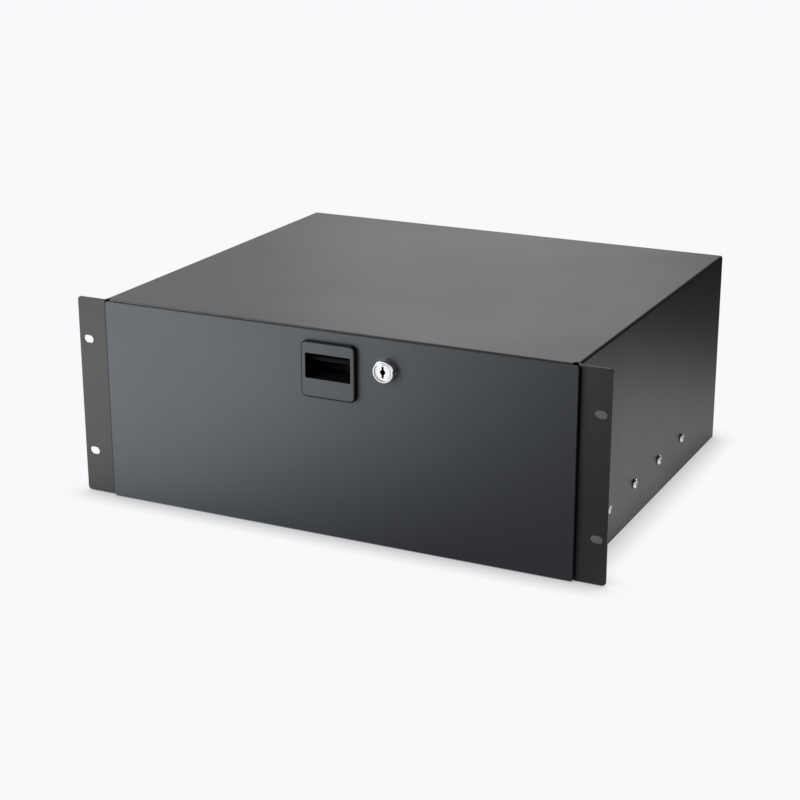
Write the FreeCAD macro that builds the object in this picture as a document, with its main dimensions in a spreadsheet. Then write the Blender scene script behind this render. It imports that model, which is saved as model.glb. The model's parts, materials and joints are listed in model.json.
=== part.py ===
"""Sliding rack drawer, four units high, for a 19 inch rack.

A folded steel case with ears carries a drawer on a pair of 45 mm full-extension ball slides.
The drawer front covers the case mouth, and holds a finger latch and a cam lock.

The frame: the origin is the centre of the four rack slots, on the plane where the ears meet the
rack rails. +X is to the right as seen from the front, +Y runs to the rear, +Z is up.
"""
import FreeCAD, Part
import math
import os
import re

import Sketcher

SIZES = {
    # rack ears
    "rack_width": (482.6, "overall width across the ears"),
    "ear_height": (176.0, "height of each ear"),
    "ear_corner": (3.0, "radius of the ears' outer corners"),
    "slot_pitch_x": (465.1, "rack slots, centre to centre across the rack"),
    "slot_pitch_z": (101.6, "rack slots, centre to centre up the rail"),
    "slot_length": (10.0, "rack slot, end to end"),
    "slot_height": (7.0, "rack slot, width"),
    # case
    "case_width": (428.0, "outside width of the case"),
    "case_height": (177.0, "outside height of the case"),
    "case_depth": (373.0, "from the rack rails to the rear face"),
    "case_sheet": (1.5, "steel sheet of the case"),
    "case_fold": (1.0, "inside radius of the folds"),
    "ear_fold": (2.0, "inside radius of the folds at the ears"),
    "lip_height": (10.0, "lip folded down from the top's front edge"),
    "corner_relief": (5.0, "lip's end to the outside of the case"),
    "pan_flange": (8.0, "height of the bottom pan's flanges"),
    "rear_flange": (11.0, "depth of the rear wall's flanges"),
    "strike_rear": (21.8, "rear face of the strike"),
    "strike_edge": (77.5, "lower edge of the strike"),
    "strike_left": (-12.0, "left end of the strike"),
    "strike_right": (70.0, "right end of the strike"),
    # slides
    "rail_height": (45.0, "height of a slide"),
    "rail_depth": (12.7, "thickness of a closed slide"),
    "rail_length": (350.0, "outer member's length"),
    "member_length": (345.0, "middle and inner members' length"),
    "rail_front": (5.0, "front ends of the members"),
    "rail_level": (-56.5, "centre line of the slides"),
    "rail_sheet": (1.2, "outer and inner members' sheet"),
    "middle_sheet": (1.1, "middle member's sheet"),
    "ball_radius": (1.6, "radius of the slide balls"),
    "race_radius": (1.9, "radius of the ball races"),
    "race_offset": (5.1, "outer ball row's distance from the case wall"),
    "race_lean": (27.0, "slope from the outer ball row down to the inner one, degrees"),
    "cage_sheet": (0.4, "ball cages' sheet"),
    "cage_length": (110.0, "length of a ball cage"),
    "ball_pitch": (68.0, "balls, centre to centre along a row"),
    "ball_pocket": (3.4, "width of a ball pocket"),
    "rail_screw_first": (76.5, "first side screw, from the rack rails"),
    "rail_screw_pitch": (64.0, "side screws, centre to centre"),
    "tray_screw_first": (41.0, "first tray screw, from the rack rails"),
    "tray_screw_pitch": (256.0, "tray screws, centre to centre"),
    # machine screws
    "screw_radius": (2.0, "shank of the slide screws"),
    "screw_play": (0.05, "gap between a screw and its thread"),
    "screw_length": (2.7, "grip of the slide screws"),
    "head_radius": (4.0, "head of the slide screws"),
    "head_height": (2.4, "height of those heads"),
    "head_bevel": (0.8, "bevel on those heads"),
    # drawer
    "tray_sheet": (1.2, "steel sheet of the tray"),
    "tray_fold": (1.0, "inside radius of the tray's folds"),
    "tray_floor": (-78.5, "underside of the tray"),
    "tray_rim": (70.0, "top edge of the tray"),
    "tray_depth": (350.0, "front to rear of the tray"),
    "tray_return": (8.0, "rim folded inward along the sides and the rear"),
    "tray_notch_floor": (44.6, "lower edge of the notch behind the latch and lock"),
    "panel_width": (428.8, "drawer front's width"),
    "panel_height": (175.5, "drawer front's height"),
    "panel_top": (87.5, "top edge of the drawer front"),
    "panel_sheet": (2.0, "drawer front's thickness"),
    "panel_corner": (2.0, "radius of its corners"),
    "panel_gap": (1.2, "gap from the drawer front to the ears"),
    "bumper_width": (12.0, "rubber bumper"),
    "bumper_height": (6.0, "rubber bumper"),
    "bumper_spread": (380.0, "bumpers, centre to centre across"),
    "bumper_top": (83.0, "height of the upper bumpers"),
    "bumper_low": (-84.2, "height of the lower bumpers"),
    # latch
    "latch_x": (3.5, "centre of the latch"),
    "latch_z": (58.6, "middle of the finger opening"),
    "mouth_width": (41.0, "finger opening"),
    "mouth_height": (21.2, "finger opening"),
    "mouth_corner": (1.0, "radius of its corners"),
    "base_width": (48.8, "housing's flange in front of the drawer front"),
    "base_top": (20.4, "flange above the opening's middle"),
    "base_bottom": (-26.6, "flange below the opening's middle"),
    "base_sheet": (2.6, "thickness of that flange"),
    "base_corner": (4.6, "radius of its corners"),
    "plate_inset": (1.0, "face plate inside the flange's edge"),
    "plate_sheet": (1.2, "thickness of the face plate"),
    "cup_side": (1.2, "housing's side walls"),
    "cup_wall": (1.5, "housing's floor and roof"),
    "cup_rear": (20.0, "front of the housing's rear wall"),
    "cup_rear_wall": (2.0, "thickness of the rear wall"),
    "tower_top": (15.9, "top of the bolt channel above the opening's middle"),
    "bolt_half": (8.0, "half the bolt's width"),
    "bolt_depth": (5.0, "front to rear of the bolt"),
    "bolt_foot": (0.4, "underside of the bolt above the opening's middle"),
    "bolt_head": (18.4, "top of the bolt above the opening's middle"),
    "bolt_bevel": (3.4, "ramp that lets the drawer slam shut"),
    "bolt_play": (0.15, "side play of the bolt"),
    "guide_wall": (4.5, "ribs beside the bolt"),
    "guide_depth": (5.5, "depth of the bolt channel"),
    "pivot_y": (10.0, "lever pin behind the rack rails' plane"),
    "pivot_z": (4.9, "lever pin above the opening's middle"),
    "pivot_radius": (1.0, "lever pin"),
    "lever_arm": (14.2, "pin to the lever's rear tip"),
    "lever_reach": (10.5, "pin to the lever's front edge"),
    "lever_sheet": (2.4, "thickness of the finger plate"),
    "lever_hub": (2.6, "radius of the lever's hub"),
    "lever_tip": (1.2, "radius of the rear tip"),
    "arm_half": (4.0, "half the rear arm's width"),
    "spring_wire": (0.6, "latch spring's square wire"),
    "spring_radius": (1.7, "latch spring's mean radius"),
    "spring_turns": (2.5, "latch spring's turns"),
    "cover_sheet": (1.0, "plate that closes the bolt channel"),
    "cover_peg_x": (10.4, "pegs that hold the cover, beside the centre line"),
    "cover_peg_z": (4.0, "those pegs above the opening's middle"),
    "cover_peg": (2.4, "width of a peg"),
    "latch_screw_x": (16.0, "housing screws beside the centre line"),
    "latch_screw_z": (-20.6, "housing screws below the opening's middle"),
    # lock
    "lock_x": (53.5, "lock axis"),
    "lock_z": (62.2, "lock axis"),
    "collar_radius": (9.4, "lock's collar"),
    "collar_proud": (5.5, "collar in front of the drawer front"),
    "collar_bevel": (0.7, "bevel on the collar's rim"),
    "barrel_radius": (8.0, "threaded barrel"),
    "barrel_flat": (7.0, "barrel's flats from the axis"),
    "barrel_rear": (22.0, "rear end of the barrel"),
    "plug_radius": (5.8, "plug's shank"),
    "plug_face": (7.25, "plug's head"),
    "plug_head": (3.0, "length of the plug's head"),
    "lock_play": (0.1, "radial gap round the plug"),
    "key_height": (9.3, "keyway"),
    "key_slit": (1.7, "keyway's narrow part"),
    "key_belly": (4.1, "keyway's wide part"),
    "key_depth": (9.0, "keyway"),
    "tail_half": (3.5, "half the square tail"),
    "cam_sheet": (2.0, "cam"),
    "cam_gap": (0.4, "strike to cam, and strike to bolt"),
    "cam_reach": (21.5, "axis to the cam's tip"),
    "cam_hub": (8.0, "radius of the cam round its axis"),
    "cam_half": (6.0, "half the cam's width"),
    "lock_nut_flats": (22.0, "lock nut across flats"),
    "lock_nut_height": (4.0, "lock nut"),
}

LEFT, RIGHT = -1, 1
REARWARD = FreeCAD.Rotation(FreeCAD.Vector(1, 0, 0), -90)
ALIAS = re.compile(r"[a-z_]+")

doc = FreeCAD.newDocument("SlidingRackDrawer")
sheet = doc.addObject("Spreadsheet::Sheet", "Sizes")
parts = []


def fill_sheet():
    """Write the driving dimensions into the spreadsheet, one alias a row."""
    for row, (alias, (amount, meaning)) in enumerate(SIZES.items(), start=1):
        sheet.set(f"A{row}", meaning)
        sheet.set(f"B{row}", str(amount))
        sheet.setAlias(f"B{row}", alias)
    doc.recompute()


def sized(formula):
    """Give a formula of sheet names in the form that FreeCAD's expressions take."""
    def with_sheet(match):
        word = match.group()
        return f"Sizes.{word}" if word in SIZES else word
    return ALIAS.sub(with_sheet, formula)


def value(formula):
    """Work out a formula of sheet names."""
    return float(sheet.evalExpression(sized(formula)))


def times(side, formula):
    """Mirror a formula to the left or right side."""
    return f"{side} * ({formula})"


# ---------------------------------------------------------------- outlines

def rectangle(left, low, right, high):
    return [(left, low, None), (right, low, None), (right, high, None), (left, high, None)]


def rounded(left, low, right, high, radius):
    """Rectangle with round corners, anticlockwise."""
    turn = (radius, LEFT_TURN)
    return [
        (f"{left} + {radius}", low, None), (f"{right} - {radius}", low, turn),
        (right, f"{low} + {radius}", None), (right, f"{high} - {radius}", turn),
        (f"{right} - {radius}", high, None), (f"{left} + {radius}", high, turn),
        (left, f"{high} - {radius}", None), (left, f"{low} + {radius}", turn)]


def slot(x, z, length, height):
    """Slot with round ends along X."""
    half, radius = f"({length} - {height}) / 2", f"{height} / 2"
    turn = (radius, LEFT_TURN)
    return [
        (f"{x} - {half}", f"{z} - {radius}", None), (f"{x} + {half}", f"{z} - {radius}", turn),
        (f"{x} + {half} + {radius}", z, turn), (f"{x} + {half}", f"{z} + {radius}", None),
        (f"{x} - {half}", f"{z} + {radius}", turn), (f"{x} - {half} - {radius}", z, turn)]


def circle(x, y, radius):
    return (x, y, radius)


def polygon(sides, x, y, radius):
    """Regular outline with a flat to its left and right, whose flats are a radius from its centre."""
    reach = f"({radius}) / cos({180 / sides})"
    return [(f"{x} + {reach} * cos({angle})", f"{y} + {reach} * sin({angle})", None)
            for angle in (360 / sides * (index + 0.5) for index in range(sides))]


def ring_sector(x, y, inner, thickness, start, end):
    """Part of a ring between two angles in degrees, anticlockwise."""
    outer = f"({inner} + {thickness})"
    return [
        (f"{x} + {outer} * cos({start})", f"{y} + {outer} * sin({start})", (outer, LEFT_TURN)),
        (f"{x} + {outer} * cos({end})", f"{y} + {outer} * sin({end})", None),
        (f"{x} + {inner} * cos({end})", f"{y} + {inner} * sin({end})", (inner, RIGHT_TURN)),
        (f"{x} + {inner} * cos({start})", f"{y} + {inner} * sin({start})", None)]


LEFT_TURN, RIGHT_TURN = 1, -1


def step(formula, direction, amount):
    """Move a coordinate by an amount in a direction of -1, 0 or 1."""
    if direction == 0:
        return formula
    return f"{formula} {'+' if direction > 0 else '-'} ({amount})"


def folded(path, thickness, radius, side):
    """Section of a folded sheet: one face follows the path, and the sheet lies to its side."""
    spots = [(value(x), value(y)) for x, y in path]
    ways = []
    for (ax, ay), (bx, by) in zip(spots, spots[1:]):
        ways.append((round((bx > ax) - (bx < ax)), round((by > ay) - (by < ay))))
    wide = f"{radius} + {thickness}"
    near, far = [], []
    for index, (x, y) in enumerate(path):
        before = ways[max(index - 1, 0)]
        after = ways[min(index, len(ways) - 1)]
        if before == after:
            normal = (-side * after[1], side * after[0])
            near.append((x, y, None))
            far.append((step(x, normal[0], thickness), step(y, normal[1], thickness), None))
            continue
        turn = before[0] * after[1] - before[1] * after[0]
        bends = (wide, radius) if turn == side else (radius, wide)
        offset = (-side * (before[1] + after[1]), side * (before[0] + after[0]))
        corner = (step(x, offset[0], thickness), step(y, offset[1], thickness))
        near.append((step(x, -before[0], bends[0]), step(y, -before[1], bends[0]),
                     (bends[0], turn)))
        near.append((step(x, after[0], bends[0]), step(y, after[1], bends[0]), None))
        far.append((step(corner[0], -before[0], bends[1]), step(corner[1], -before[1], bends[1]),
                    None))
        far.append((step(corner[0], after[0], bends[1]), step(corner[1], after[1], bends[1]),
                    (bends[1], -turn)))
    return near + far[::-1]


def draw_loop(sketch, loop):
    """Draw a closed outline and hold each of its corners and radii with the sheet's sizes."""
    spots = [FreeCAD.Vector(value(x), value(y), 0) for x, y, bend in loop]
    first = sketch.GeometryCount
    ends = []
    for index, (start, (x, y, bend)) in enumerate(zip(spots, loop)):
        finish = spots[(index + 1) % len(spots)]
        if bend is None:
            sketch.addGeometry(Part.LineSegment(start, finish))
            ends.append((1, 2))
            continue
        radius, turn = value(bend[0]), bend[1]
        chord = finish - start
        reach = math.sqrt(max(radius ** 2 - chord.Length ** 2 / 4, 0.0))
        sideways = FreeCAD.Vector(-chord.y, chord.x, 0) * (turn / chord.Length)
        centre = (start + finish) / 2 + sideways * reach
        angles = [math.atan2((spot - centre).y, (spot - centre).x) for spot in (start, finish)]
        whole = Part.Circle(centre, FreeCAD.Vector(0, 0, 1), radius)
        sketch.addGeometry(Part.ArcOfCircle(whole, *angles[::turn]))
        ends.append((1, 2)[::turn])
    for index, (x, y, bend) in enumerate(loop):
        here, after = first + index, first + (index + 1) % len(loop)
        following = ends[(index + 1) % len(loop)][0]
        sketch.addConstraint(
            Sketcher.Constraint("Coincident", here, ends[index][1], after, following))
    for index, (x, y, bend) in enumerate(loop):
        point = (first + index, ends[index][0])
        spot = spots[index]
        hold(sketch, Sketcher.Constraint("DistanceX", -1, 1, *point, spot.x), x)
        hold(sketch, Sketcher.Constraint("DistanceY", -1, 1, *point, spot.y), y)
        if bend is not None:
            hold(sketch, Sketcher.Constraint("Radius", first + index, value(bend[0])), bend[0])


def draw_circle(sketch, x, y, radius):
    centre = FreeCAD.Vector(value(x), value(y), 0)
    whole = Part.Circle(centre, FreeCAD.Vector(0, 0, 1), value(radius))
    index = sketch.addGeometry(whole)
    hold(sketch, Sketcher.Constraint("DistanceX", -1, 1, index, 3, centre.x), x)
    hold(sketch, Sketcher.Constraint("DistanceY", -1, 1, index, 3, centre.y), y)
    hold(sketch, Sketcher.Constraint("Radius", index, value(radius)), radius)


def hold(sketch, constraint, formula):
    """Add a constraint whose amount is a formula of the sheet's sizes."""
    index = sketch.addConstraint(constraint)
    sketch.renameConstraint(index, f"size_{index}")
    sketch.setExpression(f"Constraints.size_{index}", sized(formula))


# ---------------------------------------------------------------- bodies and features

def new_body(name, place=("0", "0", "0"), axis=(0, 0, 1), angle=0, kept=True):
    """Start a sub-part in its own frame, placed by the sheet's sizes."""
    body = doc.addObject("PartDesign::Body", name)
    body.Label = name
    turn = FreeCAD.Rotation(FreeCAD.Vector(*axis), angle)
    body.Placement = FreeCAD.Placement(FreeCAD.Vector(0, 0, 0), turn)
    for letter, formula in zip("xyz", place):
        body.setExpression(f"Placement.Base.{letter}", sized(formula))
    if kept:
        parts.append(body)
    return body


def new_sketch(body, plane, at, outlines):
    """Sketch outlines on one of the body's own planes, moved to a coordinate along its axis."""
    sketch = body.newObject("Sketcher::SketchObject", f"{body.Name}_outline")
    role = next(item for item in body.Origin.OriginFeatures if item.Role == plane)
    sketch.AttachmentSupport = [(role, "")]
    sketch.MapMode = "FlatFace"
    away = LEFT if plane == "XZ_Plane" else RIGHT
    sketch.setExpression("AttachmentOffset.Base.z", sized(times(away, at)))
    for outline in outlines:
        if isinstance(outline, tuple):
            draw_circle(sketch, *outline)
        else:
            draw_loop(sketch, outline)
    return sketch


def add(body, plane, at, length, outlines):
    """Pad outlines from a coordinate towards the positive end of the plane's axis."""
    before = volume(body)
    pad = body.newObject("PartDesign::Pad", f"{body.Name}_pad")
    pad.Profile = new_sketch(body, plane, at, outlines)
    pad.setExpression("Length", sized(length))
    pad.Reversed = plane == "XZ_Plane"
    doc.recompute()
    check(volume(body) > before, f"{pad.Name} adds nothing")
    return pad


def cut(body, plane, at, length, outlines):
    """Pocket outlines from a coordinate towards the positive end of the plane's axis."""
    before = volume(body)
    pocket = body.newObject("PartDesign::Pocket", f"{body.Name}_pocket")
    pocket.Profile = new_sketch(body, plane, at, outlines)
    pocket.setExpression("Length", sized(length))
    pocket.Reversed = plane != "XZ_Plane"
    doc.recompute()
    check(volume(body) < before - 1e-6, f"{pocket.Name} cuts nothing")
    return pocket


def turned(body, plane, axis, outline):
    """Revolve an outline about its sketch's own horizontal or vertical axis."""
    revolution = body.newObject("PartDesign::Revolution", f"{body.Name}_turned")
    sketch = new_sketch(body, plane, "0", [outline])
    revolution.Profile = sketch
    revolution.ReferenceAxis = (sketch, [axis])
    revolution.Angle = 360
    doc.recompute()
    return revolution


def dress(body, kind, size, chosen):
    """Fillet or chamfer the edges that a test picks by their middle and direction."""
    names = []
    for number, edge in enumerate(body.Shape.Edges, start=1):
        if edge.Curve.TypeId != "Part::GeomLine":
            continue
        middle = edge.valueAt((edge.FirstParameter + edge.LastParameter) / 2)
        if chosen(body.Placement.inverse().multVec(middle), edge):
            names.append(f"Edge{number}")
    check(names, f"{body.Name} has no edge to dress")
    base = body.Tip
    feature = body.newObject(f"PartDesign::{kind}", f"{body.Name}_{kind.lower()}")
    feature.Base = (base, names)
    feature.setExpression("Radius" if kind == "Fillet" else "Size", sized(size))
    doc.recompute()
    return feature


def volume(body):
    return 0.0 if body.Shape.isNull() else body.Shape.Volume


def check(passed, complaint):
    if not passed:
        raise RuntimeError(complaint)


def along(edge, axis):
    """Say whether a straight edge runs along an axis."""
    return abs(edge.Curve.Direction.dot(FreeCAD.Vector(*axis))) > 0.999


def group(name, master, places):
    """Set copies of one piece at several places, as separate solids of one sub-part."""
    item = doc.addObject("Part::Feature", name)
    item.Label = name
    copies = []
    for spot, turn in places:
        copy = master.Shape.copy()
        copy.Placement = FreeCAD.Placement(spot, turn).multiply(copy.Placement)
        copies.append(copy)
    item.Shape = Part.makeCompound(copies)
    item.Placement = FreeCAD.Placement()
    parts.append(item)
    return item


# ---------------------------------------------------------------- case

def make_case_shell():
    """Top and sides in one sheet, with the ears folded outward and the top's lip folded down."""
    body = new_body("case_shell")
    half, high, low = "case_width / 2", "case_height / 2", "-case_height / 2"
    hood = [("-case_width / 2", low), ("-case_width / 2", high), (half, high), (half, low)]
    add(body, "XZ_Plane", "ear_fold", "case_depth - ear_fold",
        [folded(hood, "case_sheet", "case_fold", RIGHT_TURN)])
    for side in (LEFT, RIGHT):
        wall = times(side, half)
        ear = [(wall, "ear_fold * 4"), (wall, "0"), (times(side, "rack_width / 2"), "0")]
        add(body, "XY_Plane", "-ear_height / 2", "ear_height",
            [folded(ear, "case_sheet", "ear_fold", -side)])
    lip = [("ear_fold * 4", high), ("-case_sheet", high), ("-case_sheet", f"{high} - lip_height")]
    add(body, "YZ_Plane", f"corner_relief - {half}", f"2 * ({half} - corner_relief)",
        [folded(lip, "case_sheet", "case_fold", LEFT_TURN)])
    slots = []
    for side in (LEFT, RIGHT):
        for level in (LEFT, RIGHT):
            slots.append(slot(times(side, "slot_pitch_x / 2"), times(level, "slot_pitch_z / 2"),
                              "slot_length", "slot_height"))
    cut(body, "XZ_Plane", "-2 * case_sheet", "3 * case_sheet", slots)
    for side in (LEFT, RIGHT):
        start = f"{times(side, half)} - 2 * case_sheet"
        cut(body, "YZ_Plane", start, "4 * case_sheet",
            [polygon(6, spot, "rail_level", "screw_radius + 2 * screw_play")
             for spot in rail_screw_spots()])
    outside, top = value("rack_width / 2"), value("ear_height / 2")
    dress(body, "Fillet", "ear_corner", lambda middle, edge: along(edge, (0, 1, 0))
          and abs(abs(middle.x) - outside) < 0.01 and abs(abs(middle.z) - top) < 0.01)


def make_bottom_pan():
    """Floor and rear wall of the case in one sheet, with flanges that are spot-welded inside."""
    body = new_body("bottom_pan")
    low, high = "-case_height / 2", "case_height / 2 - case_sheet"
    inside = "case_width / 2 - case_sheet"
    relief = f"({inside} - case_sheet - case_fold)"
    length = [("-case_sheet", f"{low} + pan_flange"), ("-case_sheet", low), ("case_depth", low),
              ("case_depth", high), ("case_depth - rear_flange", high)]
    add(body, "YZ_Plane", f"-1 * {relief}", f"2 * {relief}",
        [folded(length, "case_sheet", "case_fold", LEFT_TURN)])
    for side in (LEFT, RIGHT):
        wall = times(side, inside)
        start = times(side, f"{inside} - 2 * pan_flange")
        flange = [(start, low), (wall, low), (wall, f"{low} + pan_flange")]
        add(body, "XZ_Plane", "rail_front", "case_depth - 2 * rail_front",
            [folded(flange, "case_sheet", "case_fold", side)])
        rear = [(start, "case_depth"), (wall, "case_depth"), (wall, "case_depth - rear_flange")]
        add(body, "XY_Plane", f"{low} + 2 * pan_flange", "case_height - 4 * pan_flange",
            [folded(rear, "case_sheet", "case_fold", -side)])


def make_strike():
    """Angle under the top that the latch bolt and the lock's cam catch behind."""
    body = new_body("strike")
    under = "case_height / 2 - case_sheet"
    angle = [("2 * case_sheet", under), ("strike_rear", under), ("strike_rear", "strike_edge")]
    add(body, "YZ_Plane", "strike_left", "strike_right - strike_left",
        [folded(angle, "case_sheet", "case_fold", RIGHT_TURN)])


# ---------------------------------------------------------------- slides

OUTER_ROW = ("race_offset", "(rail_height / 2 - rail_sheet - race_radius)")
ROW_GAP = "(2 * race_radius + middle_sheet)"
INNER_ROW = (f"({OUTER_ROW[0]} + {ROW_GAP} * cos(race_lean))",
             f"({OUTER_ROW[1]} - {ROW_GAP} * sin(race_lean))")
SIDE_NAMES = {LEFT: "left", RIGHT: "right"}


def rail_screw_spots():
    return [f"rail_screw_first + {index} * rail_screw_pitch" for index in range(4)]


def tray_screw_spots():
    return [f"tray_screw_first + {index} * tray_screw_pitch" for index in range(2)]


def rail_body(name, side, length):
    """Start a slide piece whose own X runs from the case wall to the tray.

    The right-hand pieces are the left-hand ones turned half round, so their own Y runs forward.
    """
    wall = times(side, "case_width / 2 - case_sheet")
    front = "rail_front" if side == LEFT else f"rail_front + {length}"
    return new_body(name, (wall, front, "rail_level"), angle=0 if side == LEFT else 180)


def rail_spot(spot, side, length):
    """Place a point of the rack frame's Y along a slide piece."""
    if side == LEFT:
        return f"{spot} - rail_front"
    return f"rail_front + {length} - ({spot})"


def race(body, length, row, thickness, start, end):
    """Roll one ball race along the top of a member, and its mirror image along the bottom."""
    x, z = row
    add(body, "XZ_Plane", "0", length, [ring_sector(x, z, "race_radius", thickness, start, end)])
    add(body, "XZ_Plane", "0", length,
        [ring_sector(x, f"-1 * {z}", "race_radius", thickness, f"-1 * ({end})",
                     f"-1 * ({start})")])


def make_outer_rail(side):
    """Member screwed to the case wall, with its races facing inward."""
    body = rail_body(f"outer_rail_{SIDE_NAMES[side]}", side, "rail_length")
    half = "rail_height / 2"
    channel = [("race_offset", half), ("0", half), ("0", f"-1 * {half}"),
               ("race_offset", f"-1 * {half}")]
    add(body, "XZ_Plane", "0", "rail_length",
        [folded(channel, "rail_sheet", "case_fold", LEFT_TURN)])
    race(body, "rail_length", OUTER_ROW, "rail_sheet", "20", "160")
    cut(body, "YZ_Plane", "-1 * rail_sheet", "3 * rail_sheet",
        [polygon(6, rail_spot(spot, side, "rail_length"), "0", "screw_radius + screw_play")
         for spot in rail_screw_spots()])


def make_middle_rail(side):
    """Member between the two ball rows: its sheet passes over one row and under the other."""
    body = rail_body(f"middle_rail_{SIDE_NAMES[side]}", side, "member_length")
    web = "(race_offset - race_radius - middle_sheet)"
    top = f"({OUTER_ROW[1]} - race_radius * sin(25))"
    add(body, "XZ_Plane", "0", "member_length",
        [rectangle(web, f"-1 * {top}", f"{web} + middle_sheet", top)])
    race(body, "member_length", OUTER_ROW, "middle_sheet", "205", "360 - race_lean")
    race(body, "member_length", INNER_ROW, "middle_sheet", "20", "180 - race_lean")


def make_inner_rail(side):
    """Member screwed to the tray, with its races facing outward."""
    body = rail_body(f"inner_rail_{SIDE_NAMES[side]}", side, "member_length")
    web = "(rail_depth - rail_sheet)"
    add(body, "XZ_Plane", "0", "member_length",
        [rectangle(web, f"-1 * {INNER_ROW[1]}", "rail_depth", INNER_ROW[1])])
    race(body, "member_length", INNER_ROW, "rail_sheet", "215", "345")
    cut(body, "YZ_Plane", f"{web} - rail_sheet", "3 * rail_sheet",
        [polygon(6, rail_spot(spot, side, "member_length"), "0", "screw_radius + screw_play")
         for spot in tray_screw_spots()])


def ball_spots():
    """Give the balls' places along a row, from the cage's middle."""
    return [f"{end} * ball_pitch / 2" for end in (-1, 1)]


def cage_body(name, side):
    """Start a ball cage whose own origin is the middle of the closed slide."""
    wall = times(side, "case_width / 2 - case_sheet")
    return new_body(name, (wall, "rail_front + member_length / 2", "rail_level"),
                    angle=0 if side == LEFT else 180)


def cut_pockets(body, start, end):
    """Open the ball pockets through both arms of a cage."""
    pockets = []
    for spot in ball_spots():
        pockets.append(rectangle(start, f"{spot} - ball_pocket / 2", end,
                                 f"{spot} + ball_pocket / 2"))
    cut(body, "XY_Plane", "-1 * rail_height / 2", "rail_height", pockets)


def make_outer_cage(side):
    """Strip that keeps the balls between the outer and middle members apart."""
    body = cage_body(f"outer_cage_{SIDE_NAMES[side]}", side)
    web, back = "(rail_sheet + 0.3)", "(rail_sheet + 0.3 + cage_sheet)"
    top = f"({OUTER_ROW[1]} + cage_sheet / 2)"
    low = f"({OUTER_ROW[1]} - cage_sheet / 2)"
    arm = "race_offset + 0.9"
    add(body, "XZ_Plane", "-1 * cage_length / 2", "cage_length",
        [[(arm, top, None), (web, top, None), (web, f"-1 * {top}", None),
          (arm, f"-1 * {top}", None), (arm, f"-1 * {low}", None), (back, f"-1 * {low}", None),
          (back, low, None), (arm, low, None)]])
    cut_pockets(body, "race_offset - ball_pocket / 2", "race_offset + 3")


def make_inner_cage(side):
    """Strip that keeps the balls between the middle and inner members apart."""
    body = cage_body(f"inner_cage_{SIDE_NAMES[side]}", side)
    x, z = INNER_ROW
    half = "cage_sheet / 2"
    arm = [("race_offset + 0.2", "15.1"), (f"{x} - 1.8", f"{z} + {half}"),
           (f"{x} + 1.4", f"{z} + {half}"), (f"{x} + 1.4", f"{z} - {half}"),
           (f"{x} - 1.6", f"{z} - {half}"), ("race_offset + 0.6", "14.85")]
    upper = [(across, up, None) for across, up in arm]
    lower = [(across, f"-1 * ({up})", None) for across, up in arm[::-1]]
    add(body, "XZ_Plane", "-1 * cage_length / 2", "cage_length", [upper + lower])
    cut_pockets(body, f"{x} - ball_pocket / 2", f"{x} + 3")


def make_balls(name, side, row, ball):
    """Set one cage's balls in their two rows."""
    middle = value("rail_front + member_length / 2")
    across = value(times(side, f"case_width / 2 - case_sheet - {row[0]}"))
    places = []
    for spot in ball_spots():
        for level in (LEFT, RIGHT):
            height = value(f"rail_level + {times(level, row[1])}")
            centre = FreeCAD.Vector(across, middle + value(spot), height)
            places.append((centre, FreeCAD.Rotation()))
    group(f"{name}_{SIDE_NAMES[side]}", ball, places)


def make_buffer(side):
    """Rubber stop at the rear end of a slide."""
    body = rail_body(f"rail_buffer_{SIDE_NAMES[side]}", side, "rail_length")
    start = "member_length + 0.4" if side == LEFT else "0"
    add(body, "XZ_Plane", start, "rail_length - member_length - 0.4",
        [rectangle("rail_sheet", "-15", "rail_depth - 2", "15")])


def make_ball():
    """Slide ball with a few flats, because it is repeated so often."""
    ball = new_body("ball_master", kept=False)
    reach = "(0.9 * ball_radius)"
    add(ball, "XY_Plane", f"-1 * {reach}", f"2 * {reach}",
        [rectangle(f"-1 * {reach}", f"-1 * {reach}", reach, reach)])
    dress(ball, "Chamfer", "0.55 * ball_radius", lambda middle, edge: True)
    return ball


def make_screw(name, shank, length, head, height, bevel):
    """Screw with its head above Z = 0. Flats keep the repeated pieces light."""
    body = new_body(name, kept=False)
    add(body, "XY_Plane", f"-1 * {length}", length, [polygon(6, "0", "0", shank)])
    add(body, "XY_Plane", "0", height, [polygon(8, "0", "0", head)])
    top = value(height)
    dress(body, "Chamfer", bevel, lambda middle, edge: abs(middle.z - top) < 0.01)
    return body


def set_screws(screw):
    """Put the screws in the case walls and in the tray's sides, with their flats in line."""
    flats = FreeCAD.Rotation(FreeCAD.Vector(0, 0, 1), 90)
    for side in (LEFT, RIGHT):
        outward = FreeCAD.Rotation(FreeCAD.Vector(0, 1, 0), 90 * side).multiply(flats)
        inward = FreeCAD.Rotation(FreeCAD.Vector(0, 1, 0), -90 * side).multiply(flats)
        height = value("rail_level")
        wall = value(times(side, "case_width / 2"))
        places = [(FreeCAD.Vector(wall, value(spot), height), outward)
                  for spot in rail_screw_spots()]
        group(f"rail_screws_{SIDE_NAMES[side]}", screw, places)
        wall = value(times(side, f"{TRAY_HALF} - tray_sheet"))
        places = [(FreeCAD.Vector(wall, value(spot), height), inward)
                  for spot in tray_screw_spots()]
        group(f"tray_screws_{SIDE_NAMES[side]}", screw, places)


# ---------------------------------------------------------------- drawer

TRAY_HALF = "(case_width / 2 - case_sheet - rail_depth)"
PANEL_REAR = "(-1 * case_sheet - panel_gap)"
PANEL_FRONT = f"({PANEL_REAR} - panel_sheet)"


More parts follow.
